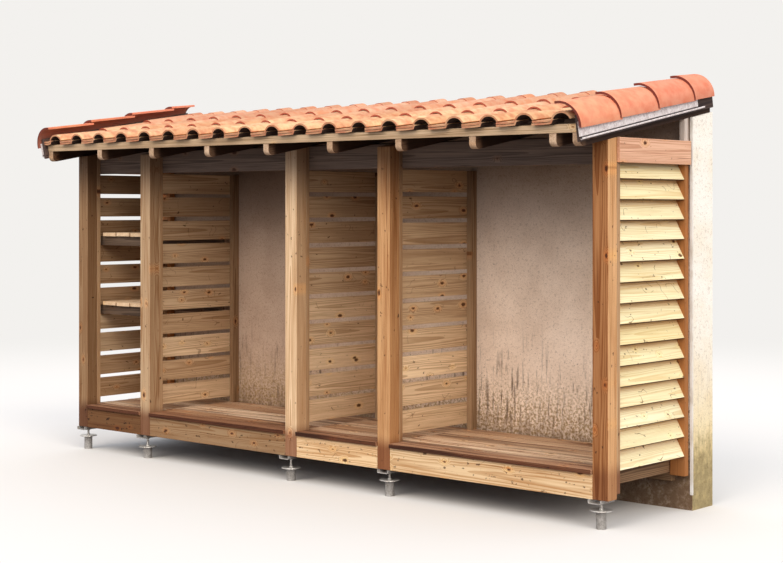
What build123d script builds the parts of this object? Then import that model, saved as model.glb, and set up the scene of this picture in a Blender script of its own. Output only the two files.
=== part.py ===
from build123d import *
from math import atan2, ceil, cos, degrees, floor, radians, sin, sqrt
import os

# Log store: an open-fronted lean-to of timber bays against a rendered wall, under roll tiles.
# Lengths are millimetres. X runs along the front, Y goes from the front towards the wall, Z is up.
# While the pieces are built, X = 0 is the first post's left face, Y = 0 is the posts' front face
# and Z = 0 is the ground. The last section moves the origin under the middle of the whole store.

# Posts and bays, from left to right
POST_WIDTH = 108
POST_DEPTH = 92
BAY_CLEARS = [621, 1405, 729, 1553]
FOOT_HEIGHT = 175
STORE_DEPTH = 894
STILE_THICKNESS = 33
STILE_FOOT_GAP = 30

# Wall behind the store
WALL_THICKNESS = 240
WALL_PAST_FRAME = 17
BEAD_FRONT = 15
BEAD_RETURN = 6
BEAD_THICKNESS = 3
BEAD_DROP = 95

# Floor
RIM_HEIGHT = 145
RIM_THICKNESS = 27
DECK_THICKNESS = 27
DECK_BOARD = 145
DECK_GAP = 5
DECK_OVERHANG = 15
JOIST_WIDTH = 45
JOIST_HEIGHT = 90
JOIST_SPACING = 560
LEDGER_THICKNESS = 45
SIDE_GAP = 2

# Boards of the partitions and of the louvred end
BOARD_WIDTH = 145
SLAT_THICKNESS = 27
SLAT_GAP = 29
SLAT_ABOVE_DECK = 44
REAR_STILE_WIDTH = 40
REAR_STILE_DEPTH = 60
REAR_POST_NARROWER = 4
REAR_POST_DEPTH = 45
REAR_POST_FOOT = 40
REAR_POST_HEAD_DROP = 6
REAR_WALL_GAP = 18
REAR_PACKER_WIDTH = 36
LOUVRE_PITCH = 120.5
LOUVRE_ABOVE_FOOT = 163
LOUVRE_THICKNESS = 20
LOUVRE_TILT = 28
TOP_BOARD_THICKNESS = 20
TOP_BOARD_GAP = 31

# Shelves of the first bay
SHELF_TOPS = [956, 1485]
SHELF_THICKNESS = 28
SHELF_GAP = 17.5
SHELF_START_GAP = 27
SHELF_REAR_GAP = 14
SHELF_LEDGER_HEIGHT = 70
SHELF_LEDGER_THICKNESS = 27
SHELF_LEDGER_SETBACK = 30
SHELF_LEDGER_REAR_SETBACK = 87

# Roof timbers
ROOF_RISE_PER_RUN = 0.18
RAFTER_LINE = 2069
RAFTER_DEPTH = 80
RAFTER_WIDTH = 50
RAFTER_SPACING = 579.6
RAFTER_TAIL_SETBACK = 40
TAIL_RADIUS = 42
BEAM_THICKNESS = 50
BEAM_HEIGHT = 157.5
BATTEN_SIZE = 38
EAVES_REACH = 320
EAVES_BOARD_THICKNESS = 32
EAVES_BOARD_SETBACK = 30
VERGE_BOARD_THICKNESS = 22
VERGE_BOARD_FOOT_GAP = 30

# Roll tiles
TILE_PITCH = 256.2
TILE_GAUGE = 450
TILE_THICKNESS = 14
SHORTEST_COURSE = 60
ROLL_FIRST = 136
ROLL_LAST_INSET = 100.4
ROLL_BASE = 140
ROLL_CROWN = 60
ROLL_WALL = 11
COURSE_GAP = 1
STARTER_LENGTH = 120
STARTER_ROLL_GAP = 1
VERGE_OUTSTAND = 17
VERGE_OVER_ROLL = 34
VERGE_PAST_CROWN = 10
VERGE_CENTRE_DROP = 5
VERGE_GAUGE = 410
VERGE_PAST_EAVES = 31
VERGE_TURN = 6
FIT_GAP = 0.3

# Sheet-metal apron under the verge tiles
APRON_THICKNESS = 2
APRON_TOP = 30
APRON_DROP = 64
APRON_LIP = 16
APRON_LIP_FALL = 12
APRON_SETBACK = 16
APRON_WALL_LAP = 90

# Adjustable feet under the posts: each plate's depth below its post's foot, and how far
# each ground screw stands from the middle of its post
PLATE_DROPS = [70, 87, 86, 69, 64]
SCREW_OFFSETS = [-10, -38, -55, 2, -32]
SCREW_SETBACK = 58
BRACKET_WIDTH = 88
BRACKET_DEPTH = 146
BRACKET_THICKNESS = 4
BRACKET_FLANGE = 20
BRACKET_BEND = 8
ROD_RADIUS = 8
NUT_ACROSS = 24
NUT_HEIGHT = 10
PLATE_RADIUS = 66
PLATE_THICKNESS = 6
TUBE_RADIUS = 30

# Places that follow from the sizes
POST_LEFTS = [0]
for clear in BAY_CLEARS:
    POST_LEFTS.append(POST_LEFTS[-1] + POST_WIDTH + clear)
FRAME_LENGTH = POST_LEFTS[-1] + POST_WIDTH
BAY_COUNT = len(BAY_CLEARS)
STILE_BACK = POST_DEPTH + STILE_THICKNESS
DECK_BASE = FOOT_HEIGHT + RIM_HEIGHT
DECK_TOP = DECK_BASE + DECK_THICKNESS
DECK_BOARDS = floor((STORE_DEPTH + DECK_OVERHANG + DECK_GAP) / (DECK_BOARD + DECK_GAP))
WALL_BACK = STORE_DEPTH + WALL_THICKNESS
REAR_POST_WIDTH = POST_WIDTH - REAR_POST_NARROWER
REAR_POST_BACK = STORE_DEPTH - REAR_WALL_GAP
REAR_POST_FRONT = REAR_POST_BACK - REAR_POST_DEPTH
ROOF_PITCH = degrees(atan2(ROOF_RISE_PER_RUN, 1))
RISE = sin(radians(ROOF_PITCH))
RUN = cos(radians(ROOF_PITCH))
TILE_HEIGHT = RAFTER_DEPTH + BATTEN_SIZE
TILE_LINE = FOOT_HEIGHT + RAFTER_LINE + TILE_HEIGHT / RUN
EAVES_START = -EAVES_REACH / RUN
ROOF_TOP = WALL_BACK / RUN
FULL_COURSES = floor((ROOF_TOP - SHORTEST_COURSE - EAVES_START) / TILE_GAUGE)
COURSE_ENDS = [EAVES_START + TILE_GAUGE * n for n in range(FULL_COURSES + 1)]
COURSE_ENDS.append(ROOF_TOP)
FIRST_LIFT = 2 * TILE_THICKNESS + FIT_GAP
FIRST_FALL = FIRST_LIFT / TILE_GAUGE
STARTER_LIFT = FIRST_LIFT - TILE_THICKNESS - FIT_GAP
VERGE_START = EAVES_START - VERGE_PAST_EAVES
VERGE_RADIUS = VERGE_CENTRE_DROP + FIRST_LIFT + ROLL_CROWN + VERGE_OVER_ROLL
VERGE_REACH = FRAME_LENGTH + VERGE_BOARD_THICKNESS + APRON_THICKNESS + VERGE_OUTSTAND
VERGE_CENTRE = (VERGE_REACH - VERGE_RADIUS, -VERGE_CENTRE_DROP)


def rafter_foot(y):
    """Height of the rafters' underside above the ground, at a distance behind the front."""
    return FOOT_HEIGHT + RAFTER_LINE + ROOF_RISE_PER_RUN * y


BEAM_FOOT = rafter_foot(STILE_BACK) - BEAM_HEIGHT
TOP_BOARD_HEAD = rafter_foot(POST_DEPTH) + VERGE_BOARD_FOOT_GAP / RUN - TOP_BOARD_GAP
SLAT_PITCH = BOARD_WIDTH + SLAT_GAP
SLATS_FOOT = DECK_TOP + SLAT_ABOVE_DECK
SLAT_COUNT = floor((BEAM_FOOT - SLATS_FOOT - BOARD_WIDTH) / SLAT_PITCH) + 1
LOUVRES_FOOT = FOOT_HEIGHT + LOUVRE_ABOVE_FOOT
LOUVRE_HEIGHT = BOARD_WIDTH * cos(radians(LOUVRE_TILT))
LOUVRE_COUNT = floor((rafter_foot(STILE_BACK) - LOUVRES_FOOT - LOUVRE_HEIGHT) / LOUVRE_PITCH) + 1


def bar(x0, x1, y0, y1, z0, z1):
    """A sawn timber or plate between six faces."""
    low = Align.MIN
    return Pos(x0, y0, z0) * Box(x1 - x0, y1 - y0, z1 - z0, align=(low, low, low))


def side_shape(points, x0, x1):
    """A shape drawn in side view, as (y, z) points, and run along the front."""
    face = make_face(Polyline(*points, close=True))
    return extrude(Plane.YZ.offset(x0) * face, amount=x1 - x0)


def sloped_post(x0, x1, y0, y1, foot):
    """An upright whose head is cut to the rafters' slope."""
    return side_shape([(y0, foot), (y1, foot), (y1, rafter_foot(y1)), (y0, rafter_foot(y0))], x0, x1)


def roof_side_plane(x):
    """Side view of the roof: first up the slope, then square to it, from the tile line."""
    return Plane(origin=(x, 0, TILE_LINE), x_dir=(0, RUN, RISE), z_dir=(1, 0, 0))


def along_front(points, x0, x1):
    """A roof shape drawn in side view on the slope, as (up slope, above tile line) points."""
    face = make_face(Polyline(*points, close=True))
    return extrude(roof_side_plane(x0) * face, amount=x1 - x0)


def up_slope(face, start, end, lift=0, top_lift=0):
    """A face drawn across the roof, run from start to end up the slope, with its ends lifted."""
    tilt = atan2(lift - top_lift, end - start)
    pitch = radians(ROOF_PITCH) - tilt
    top = (0, end * RUN - top_lift * RISE, TILE_LINE + end * RISE + top_lift * RUN)
    plane = Plane(origin=top, x_dir=(1, 0, 0), z_dir=(0, -cos(pitch), -sin(pitch)))
    return extrude(plane * face, amount=(end - start) / cos(tilt))


def mirrored(shape):
    """The same shape at the other end of the store."""
    return shape.mirror(Plane.YZ.offset(FRAME_LENGTH / 2))


# Wall and its corner beads
def party_wall():
    ground_to_rafters = [(STORE_DEPTH, 0), (WALL_BACK, 0)]
    ground_to_rafters += [(WALL_BACK, rafter_foot(WALL_BACK)), (STORE_DEPTH, rafter_foot(STORE_DEPTH))]
    return side_shape(ground_to_rafters, -WALL_PAST_FRAME, FRAME_LENGTH + WALL_PAST_FRAME)


def corner_bead():
    """An angle over the wall's corner, with its wider leaf on the front."""
    corner = FRAME_LENGTH + WALL_PAST_FRAME
    front = STORE_DEPTH - BEAD_THICKNESS
    outer = corner + BEAD_THICKNESS
    outline = [
        (corner - BEAD_FRONT, front),
        (outer, front),
        (outer, STORE_DEPTH + BEAD_RETURN),
        (corner, STORE_DEPTH + BEAD_RETURN),
        (corner, STORE_DEPTH),
        (corner - BEAD_FRONT, STORE_DEPTH),
    ]
    face = make_face(Polyline(*outline, close=True))
    return extrude(Plane.XY.offset(BEAD_DROP) * face, amount=rafter_foot(front) - BEAD_DROP)


# Uprights
def post(index):
    left = POST_LEFTS[index]
    return sloped_post(left, left + POST_WIDTH, 0, POST_DEPTH, FOOT_HEIGHT)


def front_stile(index):
    left = POST_LEFTS[index]
    foot = FOOT_HEIGHT + STILE_FOOT_GAP
    return sloped_post(left, left + POST_WIDTH, POST_DEPTH, STILE_BACK, foot)


def slat_outer_face(index):
    """The slats' right face, where the rear stile is screwed on."""
    return POST_LEFTS[index] + POST_WIDTH - REAR_STILE_WIDTH


def rear_stile(index):
    left = slat_outer_face(index)
    head = SLATS_FOOT + SLAT_PITCH * (SLAT_COUNT - 1) + BOARD_WIDTH
    return bar(left, left + REAR_STILE_WIDTH, STORE_DEPTH - REAR_STILE_DEPTH, STORE_DEPTH, DECK_TOP, head)


def rear_post():
    """A post near the wall that stops behind the top board, and a narrow packer from it to the roof."""
    front = REAR_POST_FRONT
    back = REAR_POST_BACK
    foot = FOOT_HEIGHT + REAR_POST_FOOT
    head = TOP_BOARD_HEAD - REAR_POST_HEAD_DROP
    upright = bar(FRAME_LENGTH - REAR_POST_WIDTH, FRAME_LENGTH, front, back, foot, head)
    outline = [(front, head), (back, head), (back, rafter_foot(back)), (front, rafter_foot(front))]
    return [upright, side_shape(outline, FRAME_LENGTH - REAR_PACKER_WIDTH, FRAME_LENGTH)]


# Partitions and the louvred end
def slat_panel(index):
    right = slat_outer_face(index)
    back = REAR_POST_FRONT if index == 0 else STORE_DEPTH
    slats = []
    for n in range(SLAT_COUNT):
        foot = SLATS_FOOT + SLAT_PITCH * n
        slats.append(bar(right - SLAT_THICKNESS, right, STILE_BACK, back, foot, foot + BOARD_WIDTH))
    return slats


def louvre(index):
    lean = radians(LOUVRE_TILT)
    lower_edge = (FRAME_LENGTH, LOUVRES_FOOT + LOUVRE_PITCH * index)
    up = (-sin(lean), cos(lean))
    inward = (-cos(lean), -sin(lean))

    def corner(along, across):
        x = lower_edge[0] + up[0] * along + inward[0] * across
        z = lower_edge[1] + up[1] * along + inward[1] * across
        return (x, z)

    outline = [corner(0, 0), corner(BOARD_WIDTH, 0)]
    outline += [corner(BOARD_WIDTH, LOUVRE_THICKNESS), corner(0, LOUVRE_THICKNESS)]
    face = make_face(Polyline(*outline, close=True))
    start = Plane(origin=(0, REAR_POST_FRONT, 0), x_dir=(1, 0, 0), z_dir=(0, -1, 0))
    return extrude(start * face, amount=REAR_POST_FRONT - STILE_BACK)


def side_top_board():
    """A level board across the end, with its head below the low end of the verge board."""
    right = FRAME_LENGTH + TOP_BOARD_THICKNESS
    return bar(FRAME_LENGTH, right, POST_DEPTH, REAR_POST_BACK, TOP_BOARD_HEAD - BOARD_WIDTH, TOP_BOARD_HEAD)


# Floor
def front_rim(bay):
    left = POST_LEFTS[bay] + POST_WIDTH
    return bar(left, POST_LEFTS[bay + 1], 0, RIM_THICKNESS, FOOT_HEIGHT, DECK_BASE)


def rear_ledger():
    ends = (REAR_POST_WIDTH, FRAME_LENGTH - REAR_POST_WIDTH)
    return bar(ends[0], ends[1], STORE_DEPTH - LEDGER_THICKNESS, STORE_DEPTH, FOOT_HEIGHT, DECK_BASE)


def floor_joists():
    joists = []
    for bay, clear in enumerate(BAY_CLEARS):
        left = POST_LEFTS[bay] + POST_WIDTH
        spaces = ceil(clear / JOIST_SPACING)
        for n in range(spaces + 1):
            x = left + (clear - JOIST_WIDTH) * n / spaces
            back = STORE_DEPTH - LEDGER_THICKNESS
            joists.append(bar(x, x + JOIST_WIDTH, RIM_THICKNESS, back, DECK_BASE - JOIST_HEIGHT, DECK_BASE))
    return joists


def deck(bay):
    """Floor boards of one bay: between the posts at the front, then from centre to centre."""
    boards = []
    inner_left = POST_LEFTS[bay] + POST_WIDTH
    inner_right = POST_LEFTS[bay + 1]
    for n in range(DECK_BOARDS):
        front = -DECK_OVERHANG + n * (DECK_BOARD + DECK_GAP)
        back = front + DECK_BOARD
        if front < STILE_BACK:
            left = inner_left + SIDE_GAP / 2
            right = inner_right - SIDE_GAP / 2
        else:
            left = inner_left - POST_WIDTH / 2 + SIDE_GAP / 2
            right = inner_right + POST_WIDTH / 2 - SIDE_GAP / 2
        beside_rear_post = back > REAR_POST_FRONT
        if beside_rear_post and bay == 0:
            left = REAR_POST_WIDTH + SIDE_GAP
        if beside_rear_post and bay == BAY_COUNT - 1:
            right = FRAME_LENGTH - REAR_POST_WIDTH - SIDE_GAP
        boards.append(bar(left, right, front, back, DECK_BASE, DECK_TOP))
    return boards


# Shelves of the first bay
def shelf(top):
    boards = []
    left = POST_WIDTH + SHELF_START_GAP
    room = slat_outer_face(1) - SLAT_THICKNESS - SIDE_GAP - left
    pitch = BOARD_WIDTH + SHELF_GAP
    for n in range(floor((room + SHELF_GAP) / pitch)):
        x = left + n * pitch
        z = FOOT_HEIGHT + top
        back = STORE_DEPTH - SHELF_REAR_GAP
        boards.append(bar(x, x + BOARD_WIDTH, STILE_BACK + SIDE_GAP, back, z - SHELF_THICKNESS, z))
    return boards


def shelf_ledgers():
    left = slat_outer_face(0)
    right = slat_outer_face(1) - SLAT_THICKNESS
    ledgers = []
    for top in SHELF_TOPS:
        head = FOOT_HEIGHT + top - SHELF_THICKNESS
        front = STILE_BACK + SHELF_LEDGER_SETBACK
        rear = STORE_DEPTH - SHELF_LEDGER_REAR_SETBACK - SHELF_LEDGER_THICKNESS
        for y in (front, rear):
            ledger = bar(left, right, y, y + SHELF_LEDGER_THICKNESS, head - SHELF_LEDGER_HEIGHT, head)
            ledgers.append(ledger)
    return ledgers


# Roof timbers
def front_beam():
    back = STILE_BACK + BEAM_THICKNESS
    lean = radians(LOUVRE_TILT)
    louvre_depth = BOARD_WIDTH * sin(lean) + LOUVRE_THICKNESS * cos(lean)
    outline = [(STILE_BACK, BEAM_FOOT), (back, BEAM_FOOT)]
    outline += [(back, rafter_foot(back)), (STILE_BACK, rafter_foot(STILE_BACK))]
    return side_shape(outline, 0, FRAME_LENGTH - louvre_depth - SIDE_GAP)


def rafter(left):
    """One rafter with a quarter-round tail, resting on the beam and the wall."""
    depth = RAFTER_DEPTH / RUN
    tail = RAFTER_TAIL_SETBACK - EAVES_REACH
    round_end = tail + TAIL_RADIUS
    tip = (tail, rafter_foot(tail) + TAIL_RADIUS)
    under = (round_end, rafter_foot(round_end))
    bow = TAIL_RADIUS * (1 - sqrt(0.5))
    middle = (tail + bow, rafter_foot(tail + bow) + bow)
    edges = [
        ThreePointArc(tip, middle, under),
        Line(under, (WALL_BACK, rafter_foot(WALL_BACK))),
        Line((WALL_BACK, rafter_foot(WALL_BACK)), (WALL_BACK, rafter_foot(WALL_BACK) + depth)),
        Line((WALL_BACK, rafter_foot(WALL_BACK) + depth), (tail, rafter_foot(tail) + depth)),
        Line((tail, rafter_foot(tail) + depth), tip),
    ]
    return extrude(Plane.YZ.offset(left) * make_face(edges), amount=RAFTER_WIDTH)


def rafters():
    last_space = (FRAME_LENGTH - 2 * RAFTER_WIDTH) / RAFTER_SPACING
    lefts = [RAFTER_SPACING * n for n in range(floor(last_space) + 1)]
    lefts.append(FRAME_LENGTH - RAFTER_WIDTH)
    return [rafter(left) for left in lefts]


def eaves_board():
    front = EAVES_START + EAVES_BOARD_SETBACK
    back = front + EAVES_BOARD_THICKNESS
    head = STARTER_LIFT - FIRST_FALL * (back - EAVES_START) - FIT_GAP
    outline = [(front, -BATTEN_SIZE), (back, -BATTEN_SIZE), (back, head), (front, head)]
    return along_front(outline, 0, FRAME_LENGTH)


def tile_battens():
    battens = []
    for end in COURSE_ENDS[1:]:
        top = end - COURSE_GAP - BATTEN_SIZE * RISE
        outline = [(top - BATTEN_SIZE, -BATTEN_SIZE), (top, -BATTEN_SIZE), (top, 0), (top - BATTEN_SIZE, 0)]
        battens.append(along_front(outline, 0, FRAME_LENGTH))
    return battens


def verge_board():
    """The board on the last rafter's outer face, whose top edge carries the verge tiles."""
    outer_face = FRAME_LENGTH + VERGE_BOARD_THICKNESS
    head = VERGE_CENTRE[1] + sqrt(VERGE_RADIUS**2 - (outer_face - VERGE_CENTRE[0]) ** 2) - FIT_GAP
    foot = VERGE_BOARD_FOOT_GAP - TILE_HEIGHT
    start = VERGE_START + EAVES_BOARD_SETBACK
    end = ROOF_TOP - BATTEN_SIZE * RISE * 2
    outline = [(start, foot), (end, foot), (end, head), (start, head)]
    return along_front(outline, FRAME_LENGTH, outer_face)


# Roof covering
def course_outline(base, crown):
    """Cross-section of a course: flat pans and rolls of a given width and height, one wall thick."""
    upper = []
    lower = []
    x = 0
    lower_x = 0
    half = base / 2
    inner_half = half - ROLL_WALL
    span = FRAME_LENGTH - ROLL_FIRST - ROLL_LAST_INSET
    spaces = round(span / TILE_PITCH)
    for n in range(spaces + 1):
        centre = ROLL_FIRST + span * n / spaces
        upper.append(Line((x, TILE_THICKNESS), (centre - half, TILE_THICKNESS)))
        start = (centre - half, TILE_THICKNESS)
        end = (centre + half, TILE_THICKNESS)
        upper.append(ThreePointArc(start, (centre, crown), end))
        lower.append(Line((lower_x, 0), (centre - inner_half, 0)))
        start = (centre - inner_half, 0)
        end = (centre + inner_half, 0)
        lower.append(ThreePointArc(start, (centre, crown - ROLL_WALL), end))
        x = centre + half
        lower_x = centre + inner_half
    upper.append(Line((x, TILE_THICKNESS), (FRAME_LENGTH, TILE_THICKNESS)))
    lower.append(Line((lower_x, 0), (FRAME_LENGTH, 0)))
    ends = [Line((0, 0), (0, TILE_THICKNESS)), Line((FRAME_LENGTH, TILE_THICKNESS), (FRAME_LENGTH, 0))]
    return make_face(upper + lower + ends)


def tile_course(index):
    start = COURSE_ENDS[index]
    end = COURSE_ENDS[index + 1]
    lift = TILE_THICKNESS * (end - start) / TILE_GAUGE if index else FIRST_LIFT
    # The first course lies flatter than the others, so its upper end leans towards the second
    lean = ROLL_CROWN * (lift / (end - start) - TILE_THICKNESS / TILE_GAUGE)
    if end == ROOF_TOP:
        end -= (ROLL_CROWN + TILE_THICKNESS) * RISE
    outline = course_outline(ROLL_BASE, ROLL_CROWN)
    return up_slope(outline, start + COURSE_GAP, end - COURSE_GAP - lean, lift)


def starter_tiles():
    """Short tiles on the eaves board, nested under the first course, which they tip up."""
    base = ROLL_BASE - 2 * (ROLL_WALL + STARTER_ROLL_GAP)
    crown = ROLL_CROWN - ROLL_WALL + TILE_THICKNESS - 2 * STARTER_ROLL_GAP
    start = EAVES_START + COURSE_GAP
    top_lift = STARTER_LIFT - FIRST_FALL * STARTER_LENGTH
    return up_slope(course_outline(base, crown), start, start + STARTER_LENGTH, STARTER_LIFT, top_lift)


def verge_tile_face():
    """Arched section over the end roll, from past its crown to outside the end of the roof."""
    inner = VERGE_RADIUS
    outer = inner + TILE_THICKNESS
    low = -VERGE_TURN
    high = 90 + VERGE_PAST_CROWN

    def at(radius, angle):
        turn = radians(angle)
        return (VERGE_CENTRE[0] + radius * cos(turn), VERGE_CENTRE[1] + radius * sin(turn))

    middle = (low + high) / 2
    edges = [
        ThreePointArc(at(outer, low), at(outer, middle), at(outer, high)),
        Line(at(outer, high), at(inner, high)),
        ThreePointArc(at(inner, high), at(inner, middle), at(inner, low)),
        Line(at(inner, low), at(outer, low)),
    ]
    return make_face(edges)


def verge_tiles():
    tiles = []
    top = ROOF_TOP - (VERGE_RADIUS + TILE_THICKNESS) * RISE
    full_tiles = floor((top - SHORTEST_COURSE - VERGE_START) / VERGE_GAUGE)
    ends = [VERGE_START + VERGE_GAUGE * n for n in range(full_tiles + 1)]
    ends.append(top)
    for start, end in zip(ends, ends[1:]):
        lift = TILE_THICKNESS * (end - start) / VERGE_GAUGE
        tiles.append(up_slope(verge_tile_face(), start + COURSE_GAP, end - COURSE_GAP, lift))
    return tiles


def apron():
    """Folded metal on the verge board's outer face, with a turned-out drip lip."""
    inner = FRAME_LENGTH + VERGE_BOARD_THICKNESS
    outer = inner + APRON_THICKNESS
    lip = outer + APRON_LIP
    fold = -APRON_DROP
    outline = [
        (inner, APRON_TOP),
        (inner, fold - APRON_THICKNESS),
        (lip, fold - APRON_LIP_FALL - APRON_THICKNESS),
        (lip, fold - APRON_LIP_FALL),
        (outer, fold),
        (outer, APRON_TOP),
    ]
    face = make_face(Polyline(*outline, close=True))
    return up_slope(face, VERGE_START + APRON_SETBACK, (STORE_DEPTH + APRON_WALL_LAP) / RUN)


# Adjustable feet
def screw_place(index):
    """Where a foot's ground screw stands in plan."""
    return POST_LEFTS[index] + POST_WIDTH / 2 + SCREW_OFFSETS[index], SCREW_SETBACK


def post_foot(index):
    """Channel folded from plate, under the post, on a threaded rod with a nut at each end."""
    x, y = screw_place(index)
    seat = FOOT_HEIGHT - BRACKET_FLANGE
    bracket_base = seat - BRACKET_THICKNESS
    plate_top = FOOT_HEIGHT - PLATE_DROPS[index]
    base = (Align.CENTER, Align.CENTER, Align.MIN)
    block = Pos(x, y, bracket_base) * Box(BRACKET_WIDTH, BRACKET_DEPTH, FOOT_HEIGHT - bracket_base, align=base)
    bends = block.edges().filter_by(Axis.Y).group_by(Axis.Z)[0]
    inner_width = BRACKET_WIDTH - 2 * BRACKET_THICKNESS
    hollow = Pos(x, y, seat) * Box(inner_width, BRACKET_DEPTH, BRACKET_FLANGE, align=base)
    inner_bends = hollow.edges().filter_by(Axis.Y).group_by(Axis.Z)[0]
    bracket = fillet(bends, BRACKET_BEND) - fillet(inner_bends, BRACKET_BEND - BRACKET_THICKNESS)
    rod_length = bracket_base - plate_top
    rod = Pos(x, y, plate_top) * Cylinder(ROD_RADIUS, rod_length, align=base)
    nut_face = RegularPolygon(NUT_ACROSS / 2, 6, major_radius=False)
    lower_nut = extrude(Pos(x, y, plate_top) * nut_face, amount=NUT_HEIGHT)
    upper_nut = extrude(Pos(x, y, bracket_base - NUT_HEIGHT) * nut_face, amount=NUT_HEIGHT)
    return bracket + rod + lower_nut + upper_nut


def ground_screw(index):
    """Round plate on a tube that goes down to the ground."""
    x, y = screw_place(index)
    plate_base = FOOT_HEIGHT - PLATE_DROPS[index] - PLATE_THICKNESS
    base = (Align.CENTER, Align.CENTER, Align.MIN)
    plate = Pos(x, y, plate_base) * Cylinder(PLATE_RADIUS, PLATE_THICKNESS, align=base)
    tube = Pos(x, y, 0) * Cylinder(TUBE_RADIUS, plate_base, align=base)
    return plate + tube


# Every piece, by the name of its file
pieces = {"party_wall": [party_wall()]}
pieces["corner_beads"] = [corner_bead(), mirrored(corner_bead())]
for i in range(BAY_COUNT + 1):
    pieces[f"post_{i + 1}"] = [post(i)]
pieces["front_stiles"] = [front_stile(i) for i in range(BAY_COUNT + 1)]
pieces["rear_stiles"] = [rear_stile(i) for i in range(1, BAY_COUNT)]
pieces["rear_posts"] = rear_post() + [mirrored(part) for part in rear_post()]
for i in range(BAY_COUNT):
    pieces[f"slat_panel_{i + 1}"] = slat_panel(i)
pieces["louvre_boards"] = [louvre(i) for i in range(LOUVRE_COUNT)]
pieces["side_top_board_right"] = [side_top_board()]
pieces["side_top_board_left"] = [mirrored(side_top_board())]
for i in range(BAY_COUNT):
    pieces[f"front_rim_{i + 1}"] = [front_rim(i)]
pieces["rear_ledger"] = [rear_ledger()]
pieces["floor_joists"] = floor_joists()
for i in range(BAY_COUNT):
    pieces[f"deck_{i + 1}"] = deck(i)
pieces["lower_shelf"] = shelf(SHELF_TOPS[0])
pieces["upper_shelf"] = shelf(SHELF_TOPS[1])
pieces["shelf_ledgers"] = shelf_ledgers()
pieces["front_beam"] = [front_beam()]
pieces["rafters"] = rafters()
pieces["eaves_board"] = [eaves_board()]
pieces["tile_battens"] = tile_battens()
pieces["verge_boards"] = [verge_board(), mirrored(verge_board())]
for i in range(len(COURSE_ENDS) - 1):
    pieces[f"tile_course_{i + 1}"] = [tile_course(i)]
pieces["tile_course_1"].append(starter_tiles())
pieces["verge_tiles_right"] = verge_tiles()
pieces["verge_tiles_left"] = [mirrored(tile) for tile in verge_tiles()]
pieces["apron_right"] = [apron()]
pieces["apron_left"] = [mirrored(apron())]
pieces["post_feet"] = [post_foot(i) for i in range(BAY_COUNT + 1)]
pieces["ground_screws"] = [ground_screw(i) for i in range(BAY_COUNT + 1)]

# The origin goes on the ground, under the middle of the whole store
whole = Compound(children=[solid for group in pieces.values() for part in group for solid in part.solids()])
box = whole.bounding_box()
middle_x = (box.min.X + box.max.X) / 2
middle_y = (box.min.Y + box.max.Y) / 2
print("middle of the plan", round(middle_x, 3), round(middle_y, 3))

os.makedirs("parts", exist_ok=True)
for name, group in pieces.items():
    solids = [solid.moved(Location((-middle_x, -middle_y, 0))) for part in group for solid in part.solids()]
    shape = solids[0] if len(solids) == 1 else Compound(solids)
    export_step(shape, f"parts/{name}.step")
print("pieces", len(pieces))
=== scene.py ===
# %% [markdown]
# # A log store, dressed in Blender
#
# The store is an open-fronted lean-to: timber bays against a rendered wall, under a roof of roll tiles.
# Its solids were drawn in CAD and come in as a fixed frame. This lesson keeps every one of them in its
# place and gives them what a camera sees: eased edges, grain and knots, single tiles, threads and stains.

from math import atan, cos, pi, radians, sin
from random import Random

import bmesh
import bpy
from mathutils import Matrix, Vector


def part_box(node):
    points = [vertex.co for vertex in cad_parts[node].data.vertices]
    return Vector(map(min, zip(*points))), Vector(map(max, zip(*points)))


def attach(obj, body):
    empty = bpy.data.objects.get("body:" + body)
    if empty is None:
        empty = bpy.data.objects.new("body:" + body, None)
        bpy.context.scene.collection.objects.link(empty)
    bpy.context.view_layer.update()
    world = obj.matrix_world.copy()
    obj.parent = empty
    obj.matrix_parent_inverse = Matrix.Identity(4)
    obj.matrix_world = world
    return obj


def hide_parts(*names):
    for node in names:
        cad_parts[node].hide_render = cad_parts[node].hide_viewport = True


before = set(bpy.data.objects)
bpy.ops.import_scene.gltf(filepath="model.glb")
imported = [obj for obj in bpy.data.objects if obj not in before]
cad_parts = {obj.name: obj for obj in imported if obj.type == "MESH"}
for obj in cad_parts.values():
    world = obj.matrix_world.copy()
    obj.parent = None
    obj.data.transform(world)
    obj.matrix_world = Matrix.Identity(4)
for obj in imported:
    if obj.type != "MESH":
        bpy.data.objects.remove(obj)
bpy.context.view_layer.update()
print("nodes in the frame:", len(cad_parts))

# %% [markdown]
# ## The camera
#
# The camera was solved from the straight edges of the real store: it stands in front of the right end,
# a little above eye height, and looks level. A level camera keeps the posts upright, so the picture is
# framed by sliding the lens down (shift) and not by tilting, as an architect's photographer does.

# %% Set up the camera
CAMERA_PLACE = (7.617, -8.149, 1.862)
CAMERA_HEADING = 41.37
CAMERA_LENS = 74.6
CAMERA_SHIFT = -0.0961

lens = bpy.data.cameras.new("view")
lens.lens = CAMERA_LENS
lens.sensor_width = 36
lens.shift_y = CAMERA_SHIFT
camera = bpy.data.objects.new("view", lens)
camera.location = CAMERA_PLACE
camera.rotation_euler = (pi / 2, 0, radians(CAMERA_HEADING))
bpy.context.collection.objects.link(camera)
bpy.context.scene.camera = camera
print("camera stands at", CAMERA_PLACE)

# %% [markdown]
# ## Colours and nodes
#
# Colours are written as the hex values that a paint chart gives. Those are sRGB, and Blender's shaders
# count in linear light, so one function converts them. Another adds any node with its settings and its
# links. Its inputs can be numbers, hex colours, sockets or whole nodes, of which it takes the first
# output that is live, and that keeps each material readable as a short recipe.

# %% Helpers for colours and nodes
def colour(hex_code):
    """An sRGB hex colour as linear red, green, blue and alpha."""
    parts = [int(hex_code[i:i + 2], 16) / 255 for i in (1, 3, 5)]
    return [c / 12.92 if c <= 0.04045 else ((c + 0.055) / 1.055) ** 2.4 for c in parts] + [1]


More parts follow.
